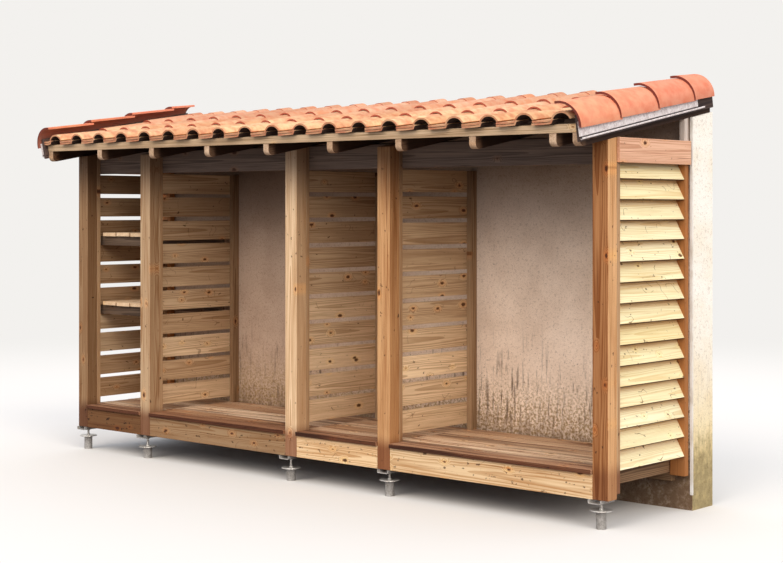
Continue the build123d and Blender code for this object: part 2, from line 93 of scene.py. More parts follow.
def feed(tree, node, inputs):
    """Fills a node's inputs, given by name or in order, with values or with other nodes' outputs."""
    for name, value in inputs.items() if isinstance(inputs, dict) else enumerate(inputs):
        if isinstance(value, bpy.types.Node):
            value = next(output for output in value.outputs if output.enabled)
        if isinstance(value, bpy.types.NodeSocket):
            tree.links.new(value, node.inputs[name])
        else:
            node.inputs[name].default_value = colour(value) if isinstance(value, str) else value


def add(tree, kind, inputs=(), **settings):
    """Adds a node to a tree, with its settings and its links."""
    node = tree.nodes.new("ShaderNode" + kind)
    for name, value in settings.items():
        setattr(node, name, value)
    feed(tree, node, inputs)
    return node


def new_material(name):
    """An empty node tree that ends in a Principled shader, and that shader."""
    material = bpy.data.materials.new(name)
    material.use_nodes = True
    tree = material.node_tree
    return material, tree, tree.nodes["Principled BSDF"]


view = bpy.context.scene.view_settings
view.view_transform = "Standard"
print("a mid brown in linear light:", [round(c, 3) for c in colour("#8c6a48")])

# %% [markdown]
# A weathered surface is built up in coats, and so are the materials. Each coat has a share, which says
# where it lies, a colour, and a way to mix: it covers what is under it, darkens it or warms it. Most
# shares come from a Map Range node that turns a measure smoothly into a share, and where several have to
# hold at once they are multiplied. Such a ramp is written as the measure where it starts, the one where
# it ends and, if they aren't 0 and 1, the shares at both. Two short loops keep the recipes short.

# %% Coats of colour
# A Mix node that mixes colours takes its share and its two colours in the inputs of these numbers
SHARE, FIRST, SECOND = 0, 6, 7
COVER = {"data_type": "RGBA"}
DARKEN = {"data_type": "RGBA", "blend_type": "MULTIPLY"}
WARM = {"data_type": "RGBA", "blend_type": "OVERLAY"}
SMOOTH = {"interpolation_type": "SMOOTHSTEP"}


def lay_coats(tree, last, coats):
    """Lays coats on a colour one after another, each a share, a colour and a way to mix."""
    for share, paint, how in coats:
        last = add(tree, "Mix", {SHARE: share, FIRST: last, SECOND: paint}, **how)
    return last


def where_all_hold(tree, *shares):
    """The product of several shares."""
    product = shares[0]
    for share in shares[1:]:
        product = add(tree, "Math", (product, share), operation="MULTIPLY")
    return product


print("ways to mix a coat:", COVER, DARKEN, WARM)

# %% [markdown]
# ## Light and floor
#
# The store stands outdoors under a bright, covered sky: shadows are wide and soft, the louvred end is
# the brightest side and the bays fall dark under the roof. A dome of light gives the sky, and two very
# wide suns its bright parts: a warm one to the right, and one in front that is high enough for the eaves
# to shade the heads of the posts and the upper half of the bays.

# %% Light the store
SKY_STRENGTH = 1.0
SKY_COLOUR = "#e8effc"
PAPER = "#f3f1ee"
SUNS = {
    "bright_side_of_the_sky": (1.9, 44, "#fff5e8", Vector((0.84, -0.36, 0.55))),
    "high_light_in_front": (1.6, 40, "#fff3e6", Vector((0.10, -0.9, 0.72))),
}

sky = bpy.data.worlds.new("covered_sky")
sky.use_nodes = True
sky_tree = sky.node_tree
sky_tree.nodes.clear()
rays = add(sky_tree, "LightPath").outputs
seen = add(sky_tree, "Math", (rays["Is Camera Ray"], rays["Is Glossy Ray"]), operation="MAXIMUM")
seen = add(sky_tree, "Math", (seen, rays["Is Transmission Ray"]), operation="MAXIMUM")
dome = add(sky_tree, "Background", {"Color": SKY_COLOUR, "Strength": SKY_STRENGTH})
paper = add(sky_tree, "Background", {"Color": PAPER, "Strength": 1.0})
sky_mix = add(sky_tree, "MixShader", (seen, dome, paper))
add(sky_tree, "OutputWorld", {"Surface": sky_mix})
bpy.context.scene.world = sky

for sun_name, (strength, width, tint, comes_from) in SUNS.items():
    sun_light = bpy.data.lights.new(sun_name, "SUN")
    sun_light.energy = strength
    sun_light.angle = radians(width)
    sun_light.color = colour(tint)[:3]
    sun = bpy.data.objects.new(sun_name, sun_light)
    sun.rotation_euler = comes_from.to_track_quat("Z", "Y").to_euler()
    bpy.context.collection.objects.link(sun)
    print(sun_name, "of strength", strength)

# %% [markdown]
# The floor is a wide disc that fades into the colour of the backdrop, so no horizon shows behind the
# store and its shadow stays. It is pale to the camera but throws back only what dull ground would, because
# a white floor would light the bays from below.

# %% Lay the floor
FLOOR_RADIUS = 90
FLOOR_SIDES = 96
FADE_START = 3.5
FADE_END = 13
FLOOR_SEEN = "#e4e1dc"
FLOOR_THROWS_BACK = "#86807c"

ground, ground_tree, ground_shader = new_material("pale_floor")
ground_place = add(ground_tree, "TexCoord").outputs["Object"]
ground_far = add(ground_tree, "VectorMath", (ground_place,), operation="LENGTH")
fade = add(ground_tree, "MapRange", (ground_far, FADE_START, FADE_END), **SMOOTH)
in_view = add(ground_tree, "LightPath").outputs["Is Camera Ray"]
ground_colour = lay_coats(ground_tree, FLOOR_THROWS_BACK, [(in_view, FLOOR_SEEN, COVER)])
feed(ground_tree, ground_shader, {"Base Color": ground_colour, "Roughness": 1, "Specular IOR Level": 0})
ground_paper = add(ground_tree, "Emission", {"Color": PAPER, "Strength": 1.0})
faded = where_all_hold(ground_tree, fade, in_view)
ground_mix = add(ground_tree, "MixShader", (faded, ground_shader, ground_paper))
feed(ground_tree, ground_tree.nodes["Material Output"], {"Surface": ground_mix})

floor_mesh = bmesh.new()
bmesh.ops.create_circle(floor_mesh, cap_ends=True, radius=FLOOR_RADIUS, segments=FLOOR_SIDES)
floor_data = bpy.data.meshes.new("floor")
floor_mesh.to_mesh(floor_data)
floor_mesh.free()
floor = bpy.data.objects.new("floor", floor_data)
floor.data.materials.append(ground)
bpy.context.collection.objects.link(floor)
print("floor radius", FLOOR_RADIUS, "m")

# %% [markdown]
# ## Sawn timber as a solid
#
# A board shows the rings of the trunk that it was cut from. So each board carries its own coordinates,
# stored on its vertices as "grain": x runs along the board, y across it and z through it, measured from
# the trunk's heart and moved by a different amount on each board. A solid pattern in those coordinates
# then gives long lines on the faces, arches where the saw met the rings at a slant and arcs on the ends,
# and no two boards are alike. A second value, "tone", makes a board a little darker or lighter. Every
# pattern is a noise that is stretched along the board, with so many waves to the metre.

# %% Patterns in a board
# Each pattern's waves to the metre along a board, across it, and its detail
HEART_WANDER = (1.7, 5.0, 2)
# Fibres are 2.3 mm wide: real ones are finer, but would not show
FIBRES = (6, 430, 2)
STREAKS = (2.4, 105, 4)
BROAD_STREAKS = (1.1, 19, 3)
STAIN_PATCHES = (0.9, 15, 5)
SHAKE_CURVES = (8, 11, 1)
SHAKE_PLACES = (7, 9, 1)
SPECKS = (27, 42, 3)
BOARD_ROUGHNESS = 0.55


def board_noise(tree, grain, seed, pattern, other_seed=0.0):
    """A pattern in a board's own coordinates."""
    along, across, detail = pattern
    place = add(tree, "VectorMath", (grain, (along, across, across)), operation="MULTIPLY")
    shifted = add(tree, "Math", (seed, other_seed), operation="ADD")
    return add(tree, "TexNoise", {"Vector": place, "W": shifted, "Scale": 1.0, "Detail": detail,
                                  "Roughness": BOARD_ROUGHNESS}, noise_dimensions="4D")


print("fibres are", round(1000 / FIBRES[1], 1), "mm wide and streaks", round(1000 / STREAKS[1], 1), "mm")

# %% [markdown]
# Knots are branches that run through the board, so their pattern ignores the thickness. A Voronoi node
# puts one chance of a knot in each cell of a grid, and the cell's random colour decides whether there is
# one and how big. Its depth, measured in from a ragged edge, gives three zones: a dark core, a brown
# collar of resin, and a halo where the wood is paler and the rings bend.

# %% Knots
KNOT_SPACING = (0.24, 0.13)
KNOT_CHANCE = 0.7
KNOT_SIZES = (0.005, 0.085)
KNOT_RAGGED = 0.08
KNOT_RAGGED_WAVES = 11
KNOT_CORE = (0.0, 0.02)
KNOT_COLLAR = (-0.035, 0.0)
KNOT_HALO = (-0.2, 0.0)


def knot_shares(tree, grain, seed, knots):
    """The shares of the core, the collar and the halo of a board's knots."""
    cells_to_metre = (1 / KNOT_SPACING[0], 1 / KNOT_SPACING[1], 0)
    place = add(tree, "VectorMath", (grain, cells_to_metre), operation="MULTIPLY")
    shift = add(tree, "CombineXYZ", (seed, seed))
    grid = add(tree, "VectorMath", (place, shift), operation="ADD")
    cells = add(tree, "TexVoronoi", {"Vector": grid, "Scale": 1.0}, voronoi_dimensions="2D").outputs
    luck = add(tree, "SeparateXYZ", (cells["Color"],))
    luck_needed = 1 - KNOT_CHANCE * knots
    size = add(tree, "MapRange", (luck, luck_needed, 1.0, *KNOT_SIZES))
    ragged = add(tree, "TexNoise", {"Vector": grid, "Scale": KNOT_RAGGED_WAVES, "Detail": 2})
    edge = add(tree, "Math", (ragged, KNOT_RAGGED, -KNOT_RAGGED / 2), operation="MULTIPLY_ADD")
    far = add(tree, "Math", (cells["Distance"], edge), operation="ADD")
    depth = add(tree, "Math", (size, far), operation="SUBTRACT")
    is_knot = add(tree, "Math", (luck, luck_needed), operation="GREATER_THAN")
    zones = [add(tree, "MapRange", (depth, *zone), **SMOOTH) for zone in (KNOT_CORE, KNOT_COLLAR, KNOT_HALO)]
    return [where_all_hold(tree, zone, is_knot) for zone in zones]


print("a knot may sit every", KNOT_SPACING, "m along and across a board")

# %% [markdown]
# Rings are counted by the distance from the heart, which wanders and slopes along the trunk. The dark
# part of a ring is the late wood of one summer: it comes in slowly and ends sharply, which a ramp over
# the fraction of the ring count gives.

# %% Growth rings
RING_WIDTH = 0.0054
HEART_SLOPE = 0.006
HEART_DRIFT = 0.034
RING_BEND_AT_KNOT = 0.013
LATE_WOOD = (0.3, 0.95)


def late_wood_share(tree, grain, seed, halo):
    """The share of dark late wood in a board's rings, which bend in the halo of a knot."""
    along, across, through = add(tree, "SeparateXYZ", (grain,)).outputs
    wander = board_noise(tree, grain, seed, HEART_WANDER)
    drift = add(tree, "Math", (wander, HEART_DRIFT, -HEART_DRIFT / 2), operation="MULTIPLY_ADD")
    aside = add(tree, "Math", (across, drift), operation="ADD")
    deep = add(tree, "Math", (along, HEART_SLOPE, through), operation="MULTIPLY_ADD")
    from_heart = add(tree, "CombineXYZ", (0.0, aside, deep))
    radius = add(tree, "VectorMath", (from_heart,), operation="LENGTH")
    bent = add(tree, "Math", (halo, RING_BEND_AT_KNOT, radius), operation="MULTIPLY_ADD")
    count = add(tree, "Math", (bent, RING_WIDTH), operation="DIVIDE")
    ring = add(tree, "Math", (count,), operation="FRACT")
    return add(tree, "MapRange", (ring, *LATE_WOOD), **SMOOTH)


print("rings are", 1000 * RING_WIDTH, "mm wide")

# %% [markdown]
# Weather and handling leave three kinds of marks: long stains where water sat, shakes, which are short
# curved cracks, and specks, which are small nicks and drops of dirt. A shake is drawn as the line where a
# noise passes its middle value, kept only in some places by a second noise.

# %% Stains, shakes and specks
STAIN_SEED = 9.1
STAIN_EDGE = 0.66
STAIN_SPREAD = 0.26
STAIN_BLUR = 0.12
STAIN_DEPTH = 0.35
STAIN_DEEPER = 0.5
SHAKE_SEEDS = (3.7, 5.2)
SHAKE_LINE = (0.003, 0.012, 1.0, 0.0)
SHAKE_HERE = (0.60, 0.64)
SPECK_SEED = 6.4
SPECK_EDGES = (0.68, 0.73)
SPECK_SPREAD = 0.06
SPECK_DEPTH = 0.85


def stain_coat(tree, grain, seed, stain, amount):
    """A coat of stain in long patches that grow with the amount."""
    patches = board_noise(tree, grain, seed, STAIN_PATCHES, STAIN_SEED)
    edge = STAIN_EDGE - STAIN_SPREAD * amount
    depth = STAIN_DEPTH + STAIN_DEEPER * amount
    return add(tree, "MapRange", (patches, edge, edge + STAIN_BLUR, 0.0, depth), **SMOOTH), stain, COVER


def shake_coat(tree, grain, seed, amount):
    """A coat that darkens short curved cracks."""
    curves = board_noise(tree, grain, seed, SHAKE_CURVES, SHAKE_SEEDS[0])
    from_middle = add(tree, "Math", (curves, 0.5), operation="SUBTRACT")
    near = add(tree, "Math", (from_middle,), operation="ABSOLUTE")
    line = add(tree, "MapRange", (near, *SHAKE_LINE), **SMOOTH)
    places = board_noise(tree, grain, seed, SHAKE_PLACES, SHAKE_SEEDS[1])
    here = add(tree, "MapRange", (places, *SHAKE_HERE), **SMOOTH)
    return where_all_hold(tree, line, here, amount), "#7d5a33", DARKEN


def speck_coat(tree, grain, seed, amount):
    """A coat of dark specks, a little longer along the board."""
    dots = board_noise(tree, grain, seed, SPECKS, SPECK_SEED)
    low, high = (edge - SPECK_SPREAD * amount for edge in SPECK_EDGES)
    return add(tree, "MapRange", (dots, low, high, 0.0, SPECK_DEPTH), **SMOOTH), "#5a3a22", COVER


print("stains are patches", round(1 / STAIN_PATCHES[0], 1), "m long")

# %% [markdown]
# Where a board sits on the store changes its colour too, and most of these coats are painted shade.
# Faces that look down or away from the light get painted shade, a turn darkens a post towards its head,
# where it is painted shade, or towards its foot, and in a stack of louvres each board's upper part gets
# the painted shadow of the next. These coats read the faces' direction and the place on the store, so
# they need no marks on the mesh.

# %% Coats that follow the place on the store
FACE_LOOKS = (0.4, 0.9)
ROW_SHADE = (0.58, 0.95)


def store_axis(tree, axis):
    """The place on the store along X, Y or Z, in metres."""
    place = add(tree, "TexCoord").outputs["Object"]
    return add(tree, "SeparateXYZ", (place,)).outputs[axis]


def looks_along(tree, axis):
    """How far a face looks along X, Y or Z, from -1 to 1."""
    geometry = add(tree, "NewGeometry")
    return add(tree, "SeparateXYZ", (geometry.outputs["True Normal"],)).outputs[axis]


def face_coat(tree, axis, sign, paint):
    """A coat of painted shade on the faces that look towards an axis, or away from it with sign -1."""
    towards = add(tree, "Math", (looks_along(tree, axis), sign), operation="MULTIPLY")
    return add(tree, "MapRange", (towards, *FACE_LOOKS), **SMOOTH), paint, DARKEN


def row_coat(tree, foot, pitch, paint):
    """A coat of painted shadow on the upper part of each board of a stack, from its foot and its pitch."""
    rows = add(tree, "Math", (store_axis(tree, 2), 1 / pitch, -foot / pitch), operation="MULTIPLY_ADD")
    up_the_row = add(tree, "Math", (rows,), operation="FRACT")
    return add(tree, "MapRange", (up_the_row, *ROW_SHADE), **SMOOTH), paint, DARKEN


def turn_coat(tree, axis, start, end, paint, amount):
    """A coat that darkens from one place along an axis to another."""
    return add(tree, "MapRange", (store_axis(tree, axis), start, end, 0.0, amount), **SMOOTH), paint, DARKEN


print("a stack's shade starts", ROW_SHADE[0], "of the way up each board")

# %% [markdown]
# Sawn pine puts all of this together. Rings, fibres and streaks are added up into one measure of how
# dark the wood is, which also gives the surface its faint relief. The saw left the wood matt, and the
# dark fibres are a touch smoother than the pale ones.

# %% Sawn pine
SEED_OF_TONE = 61.7
RING_WEIGHT = 0.22
STREAK_WEIGHTS = ((FIBRES, 0.30), (STREAKS, 0.55), (BROAD_STREAKS, 0.50))
DARK_WOOD = (0.56, 0.98)
CHECKS = (0.64, 0.72, 0.0, 0.55)
HALO_DEPTH = 0.30
COLLAR_DEPTH = 0.65
CORE_DEPTH = 0.85
SAWN_RELIEF = 0.0007
FIBRE_POLISH = 0.1


def pine(name, early, late, tint, knots=1.0, rough=0.74, stain=None, stain_amount=0.0, shakes=0.0, specks=0.0,
         faces=(), rows=None, turns=()):
    """Sawn softwood of an early and a late wood colour. Boards of a low tone are darkened by the tint."""
    material, tree, shader = new_material(name)
    grain = add(tree, "Attribute", attribute_name="grain").outputs["Vector"]
    tone = add(tree, "Attribute", attribute_name="tone").outputs["Fac"]
    seed = add(tree, "Math", (tone, SEED_OF_TONE), operation="MULTIPLY")
    core, collar, halo = knot_shares(tree, grain, seed, knots)

    wood = where_all_hold(tree, late_wood_share(tree, grain, seed, halo), RING_WEIGHT)
    layers = {}
    for pattern, weight in STREAK_WEIGHTS:
        layers[pattern] = board_noise(tree, grain, seed, pattern)
        wood = add(tree, "Math", (layers[pattern], weight, wood), operation="MULTIPLY_ADD")

    coats = [(add(tree, "MapRange", (wood, *DARK_WOOD), **SMOOTH), late, COVER),
             (add(tree, "MapRange", (layers[STREAKS], *CHECKS), **SMOOTH), "#9a7358", DARKEN)]
    if stain:
        coats.append(stain_coat(tree, grain, seed, stain, stain_amount))
    if shakes:
        coats.append(shake_coat(tree, grain, seed, shakes))
    if specks:
        coats.append(speck_coat(tree, grain, seed, specks))
    coats.append((add(tree, "Math", (1.0, tone), operation="SUBTRACT"), tint, DARKEN))
    # The faces and rows coats, and most of the turns, are painted shade
    coats += [face_coat(tree, *face) for face in faces]
    if rows:
        coats.append(row_coat(tree, *rows))
    coats += [turn_coat(tree, *turn) for turn in turns]
    coats.append((where_all_hold(tree, halo, HALO_DEPTH), "#ffd9a6", WARM))
    coats.append((where_all_hold(tree, collar, COLLAR_DEPTH), "#8a5127", DARKEN))
    coats.append((where_all_hold(tree, core, CORE_DEPTH), "#3f2010", COVER))

    polishes = (rough + FIBRE_POLISH, rough - FIBRE_POLISH)
    matt = add(tree, "MapRange", (layers[FIBRES], 0.0, 1.0, *polishes), **SMOOTH)
    relief = add(tree, "Bump", {"Height": wood, "Strength": 0.5, "Distance": SAWN_RELIEF})
    feed(tree, shader, {"Base Color": lay_coats(tree, early, coats), "Roughness": matt, "Normal": relief,
                        "Specular IOR Level": 0.25})
    return material


print("weights of rings, fibres and streaks:", RING_WEIGHT, [weight for _, weight in STREAK_WEIGHTS])

# %% [markdown]
# Timber close under the roof is given a darker brown, which is painted shade that the roof casts. The
# feet of the posts are darker towards the ground, and rain that drives in darkens the front of the
# floor. The rafters are pale only where their ends catch the light, with painted shade on their sides
# and behind the ends, and the rear posts are browner than the packers on their heads.

# %% Where the timber turns darker
# Each turn is an axis, where it starts and ends along it, a colour and how much of it, which the feet of
# the posts are given where they are used
# Painted shade that the roof casts on the stiles, the upper slats and the heads of the posts
PAINTED_SHADE_UNDER_ROOF = (2, 1.55, 2.3, "#bdb4b0", 1.0)
PAINTED_SHADE_ON_UPPER_SLATS = (2, 0.75, 1.6, "#d3cac2", 1.0)
PAINTED_SHADE_ON_POST_HEADS = (2, 1.75, 2.2, "#c4c0c2", 1.0)
POST_FEET = (2, 0.41, 0.30, "#b0958c")
# Painted shade on the posts' side faces that look to the right, into the bays
PAINTED_SHADE_ON_SIDES = (0, 1, "#e2d9d0")
LOUVRE_PITCH = 0.1205
LOUVRES_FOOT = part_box("louvre_boards")[0].z
TAIL_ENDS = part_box("rafters")[0].y
PACKER_GAP = 0.006
CUT_BLUR = 0.001
REAR_POST_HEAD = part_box("side_top_board_right")[1].z - PACKER_GAP
REAR_POST_CUT = (2, REAR_POST_HEAD + CUT_BLUR, REAR_POST_HEAD - CUT_BLUR, "#cb8f56", 1.0)
DECK_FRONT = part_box("deck_1")[0].y
DRY_PAST, WET_UP_TO = 0.24, 0.08
WET_DECK = (1, DECK_FRONT + DRY_PAST, DECK_FRONT + WET_UP_TO, "#c6afa3", 1.0)
TAIL_LIT, TAIL_SHADED = 0.035, 0.075
# Painted shade on the rafters behind their lit ends
PAINTED_SHADE_BEHIND_TAILS = (1, TAIL_ENDS + TAIL_LIT, TAIL_ENDS + TAIL_SHADED, "#8d7d72", 1.0)
print("the floor is dry", DRY_PAST, "m behind its front edge")

# %% [markdown]
# The store was built from several loads of wood, and each weathered in its own way. The right-hand posts
# went orange-brown where rain reaches them, the slats stayed tan under the roof, the louvres are the
# palest, the shelves are pale boards on dark ledgers, and the floor is streaked brown by wet wood. Each
# load gets its own pine.

# %% The loads of timber
# The posts' side faces and heads get painted shade, and their feet are darker towards the ground
POST_PINE = pine("pale_pine_posts", "#fadcb4", "#c89a6c", "#92806d", knots=0.45, specks=0.3,
                 turns=[PAINTED_SHADE_ON_POST_HEADS, (*POST_FEET, 1.0)], faces=[PAINTED_SHADE_ON_SIDES])
RED_POST_PINE = pine("orange_pine_post", "#efc08a", "#a96c38", "#a08468", knots=0.45, stain="#6b3d1d",
                     stain_amount=0.3, specks=0.3, turns=[PAINTED_SHADE_ON_POST_HEADS, (*POST_FEET, 1.0)], faces=[PAINTED_SHADE_ON_SIDES])
# The corner post's front faces get painted shade, so its side is the brighter
CORNER_PINE = pine("weathered_pine_corner_post", "#edbc88", "#ac713b", "#a08468", knots=0.45, stain="#8a5526",
                   stain_amount=0.3, specks=0.4, turns=[(*POST_FEET, 0.6)], faces=[(1, -1, "#c0aa96")])
REAR_POST_PINE = pine("pine_rear_posts", "#e6dcd4", "#c6b7ab", "#e4d8ce", knots=0.4, specks=0.4,
                      turns=[REAR_POST_CUT])
# The stiles and the upper slats get painted shade under the roof
STILE_PINE = pine("pine_stiles", "#dcbd95", "#a4805b", "#a5968a", knots=0.6, turns=[PAINTED_SHADE_UNDER_ROOF])
SLAT_PINE = pine("pine_slats", "#fbdfb8", "#c5a27a", "#b8a797", knots=0.6, stain="#9a7657", stain_amount=0.2,
                 turns=[PAINTED_SHADE_ON_UPPER_SLATS], shakes=0.5, specks=0.3)
# The louvres' undersides and the upper part of each one get painted shadow from the board above
LOUVRE_PINE = pine("pale_pine_louvres", "#faf4d0", "#e6d2a2", "#ecddbc", knots=0.4, rough=0.66, shakes=0.8,
                   specks=0.4, faces=[(2, -1, "#623719")], rows=(LOUVRES_FOOT, LOUVRE_PITCH, "#fbe6de"))
BOARD_PINE = pine("salmon_pine_boards", "#f3c6a6", "#cb9472", "#c9a592", knots=0.5, specks=0.3)
# The rims' dark tint, on the low tones of the first two, is painted shade
RIM_PINE = pine("yellow_pine_rims", "#ffdfb0", "#cf9c66", "#755f4d", knots=0.9, stain="#8a5a35",
                stain_amount=0.15, shakes=0.5, specks=1.0)
# The front edges of the floor boards get painted shade; the wet front of the floor is a stain
DECK_PINE = pine("streaked_pine_floor", "#ffe8c8", "#ae805c", "#b5987f", knots=0.7, stain="#5c3a26",
                 stain_amount=0.6, specks=0.5, faces=[(1, -1, "#9c8273")], turns=[WET_DECK])
# The floor frame's dark colours are painted shade, as it lies under the floor
JOIST_PINE = pine("pine_floor_frame", "#b89570", "#7a5d45", "#9a8672", knots=0.5)
# The shelf boards' undersides get painted shade
SHELF_PINE = pine("pale_pine_shelves", "#ffe6c4", "#dcb88e", "#cdbca8", knots=0.5, faces=[(2, -1, "#7d6c5e")])
LEDGER_PINE = pine("dark_pine_shelf_ledgers", "#7d6856", "#503f31", "#a59688", knots=0.6)
# The roof timbers' and the verge boards' dark colours are painted shade from the tiles and the apron above
ROOF_PINE = pine("brown_pine_roof_timbers", "#907a6b", "#5d4d44", "#9a8c80", knots=0.4)
VERGE_PINE = pine("dark_pine_verge_boards", "#74625a", "#46393a", "#9a8c80", knots=0.4)
# The rafters' faces that look to the right get painted shade, and so does their length behind the ends
TAIL_PINE = pine("pine_rafters", "#ecd0b2", "#ac8a6b", "#c0ab96", knots=0.2, faces=[(0, 1, "#83756c")],
                 turns=[PAINTED_SHADE_BEHIND_TAILS])
EAVES_PINE = pine("pale_pine_eaves_board", "#ecd0ac", "#ad8c66", "#c0ab96", knots=0.4, stain="#8c7357",
                  stain_amount=0.3)
print("timber finishes made:", sum("pine" in m.name for m in bpy.data.materials))

# %% [markdown]
# ## Dressing the boards
#
# The frame already holds every board's shape, so each node's mesh is copied and its loose triangles are
# merged into clean faces. One node often holds many boards. They have to be told apart, because each
# gets its own grain: a board is all that hangs together by edges, and sorting the boards by their places
# gives them the same order on every run.

# %% Find the boards in a mesh
MERGE_WITHIN = 1e-5
FLAT_WITHIN = radians(0.5)


def copy_of(node):
    """A node's mesh as a bmesh, with its loose triangles merged into flat faces."""
    bm = bmesh.new()
    bm.from_mesh(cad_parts[node].data)
    bmesh.ops.remove_doubles(bm, verts=bm.verts, dist=MERGE_WITHIN)
    bmesh.ops.dissolve_limit(bm, angle_limit=FLAT_WITHIN, verts=bm.verts, edges=bm.edges)
    bm.verts.layers.float_vector.new("grain")
    bm.verts.layers.float.new("tone")
    return bm


def joined_to(first):
    """All vertices that hang together with the first one by edges."""
    found = [first]
    known = {first}
    # The list grows while it is walked, until no vertex has an unknown neighbour
    for vert in found:
        for edge in vert.link_edges:
            other = edge.other_vert(vert)
            if other not in known:
                known.add(other)
                found.append(other)
    return found


def centre_of(verts):
    """The middle of the box round some vertices."""
    low = Vector([min(v.co[i] for v in verts) for i in range(3)])
    high = Vector([max(v.co[i] for v in verts) for i in range(3)])
    return (low + high) / 2


def separate(bm):
    """The unconnected boards of a mesh, each as a list of vertices, in order of their places."""
    seen = set()
    boards = []
    for first in bm.verts:
        if first not in seen:
            boards.append(joined_to(first))
            seen.update(boards[-1])
    return sorted(boards, key=lambda board: tuple(round(c, 3) for c in centre_of(board)))


slats = copy_of("slat_panel_4")
print("boards in the fourth partition:", len(separate(slats)))
slats.free()

# %% [markdown]
# A CAD board has knife edges, and real ones never do: saw and hand round them by a millimetre or two,
# and that thin line of light is what tells wood from card. A bevel on every sharp edge does it. Then
# each board's vertices get their own coordinates for the grain. The wider side of a board lies across
# the rings, and the heart of the trunk is placed at random beside or below it.

# %% Ease the edges and mark the grain
SHARP = radians(25)
GRAIN_SLIDE = (-3, 3)
HEART_ASIDE = (-0.4, 0.4)
HEART_BELOW = (0.3, 0.9)


def ease_edges(bm, width, segments=2):
    """Rounds every sharp edge by a small width."""
    sharp = [e for e in bm.edges if len(e.link_faces) == 2 and e.calc_face_angle(0) > SHARP]
    bmesh.ops.bevel(bm, geom=sharp, offset=width, offset_type="OFFSET", segments=segments, profile=0.5,
                    affect="EDGES", clamp_overlap=True, material=-1)


def width_along(board, middle, axis):
    """How wide a board is along an axis."""
    lengths = [(v.co - middle).dot(axis) for v in board]
    return max(lengths) - min(lengths)


def mark_grain(bm, boards, along, side, tones, chance):
    """Writes each board's own coordinates, from its trunk's heart, and its tone on its vertices."""
    grain = bm.verts.layers.float_vector["grain"]
    tone = bm.verts.layers.float["tone"]
    for number, board in enumerate(boards):
        middle = centre_of(board)
        wide, thin = sorted((side, along.cross(side)), key=lambda axis: -width_along(board, middle, axis))
        width = width_along(board, middle, wide)
        shift = Vector((chance.uniform(*GRAIN_SLIDE), chance.uniform(*HEART_ASIDE) * width,
                        chance.choice((-1, 1)) * chance.uniform(*HEART_BELOW) * width))
        low, high = tones if isinstance(tones, tuple) else (tones[number], tones[number])
        value = chance.uniform(low, high)
        for vert in board:
            out = vert.co - middle
            vert[grain] = Vector((out.dot(along), out.dot(wide), out.dot(thin))) + shift
            vert[tone] = value


print("edges sharper than", round(SHARP, 2), "radians are eased")

# %% [markdown]
# Every piece of the scene rides on the store in place of the CAD nodes that it replaces, so one
# function makes the object, hangs it on the store and hides those nodes. Another puts the steps for
# timber together. Boards that were fixed by hand lie a hair off true, so some are nudged and turned a little.

# %% Dress a node of boards
X_AXIS = Vector((1, 0, 0))
Y_AXIS = Vector((0, 1, 0))
Z_AXIS = Vector((0, 0, 1))


def finish_piece(bm, name, material, nodes, sharp_angle=None):
    """Turns a bmesh into an object that rides on the store and hides the CAD nodes it stands for."""
    mesh = bpy.data.meshes.new(name)
    bm.to_mesh(mesh)
    bm.free()
    piece = bpy.data.objects.new(name, mesh)
    piece.data.materials.append(material)
    bpy.context.collection.objects.link(piece)
    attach(piece, "root")
    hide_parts(*nodes)
    if sharp_angle:
        mesh.set_sharp_from_angle(angle=sharp_angle)
    print(name, len(mesh.polygons), "faces")


def timber(node, along, material, side=None, tones=(0.3, 0.7), ease=0.002, nudge=0.0, turn=0.0, seed=1):
    """A dressed copy of a node of boards; nudge in metres and turn in radians set them off true."""
    chance = Random(seed)
    bm = copy_of(node)
    ease_edges(bm, ease)
    boards = separate(bm)
    side = side or (Y_AXIS if along == X_AXIS else X_AXIS)
    mark_grain(bm, boards, along, side, tones, chance)
    for board in boards:
        if nudge or turn:
            tilt = Matrix.Rotation(chance.uniform(-turn, turn), 3, side)
            bmesh.ops.rotate(bm, cent=centre_of(board), matrix=tilt, verts=board)
            bmesh.ops.translate(bm, vec=along.cross(side) * chance.uniform(-nudge, nudge), verts=board)
    finish_piece(bm, node + "_dressed", material, [node])


print("every piece of timber rides on the store")

# %% [markdown]
# The uprights come first: five front posts in three kinds of pine, with a tone for each, the stiles that
# the slats are fixed to, and the posts at the rear of each end.

# %% The uprights
# The first post's low tone is painted shade; the other tones differ as the wood does
POST_TONES_AND_SHADE = [0.1, 0.4, 0.86, 0.7, 0.88]
FRONT_STILE_TONES = [0.6, 0.5, 0.55, 0.5, 0.75]
POST_EASE = 0.003
for index, shade in enumerate(POST_TONES_AND_SHADE, 1):
    pine_of_post = {4: RED_POST_PINE, 5: CORNER_PINE}.get(index, POST_PINE)
    timber(f"post_{index}", Z_AXIS, pine_of_post, tones=[shade], ease=POST_EASE, seed=index)
timber("front_stiles", Z_AXIS, POST_PINE, tones=FRONT_STILE_TONES, seed=11)
timber("rear_stiles", Z_AXIS, STILE_PINE, tones=(0.2, 0.5), seed=12)
timber("rear_posts", Z_AXIS, REAR_POST_PINE, tones=(0.4, 0.9), seed=13)

# %% [markdown]
# The partitions are slats with gaps for the air, and those at the left are the darkest. The louvred end
# sheds the rain: its boards lean, so the direction of their width is worked out from the lean before the
# grain is marked on it.

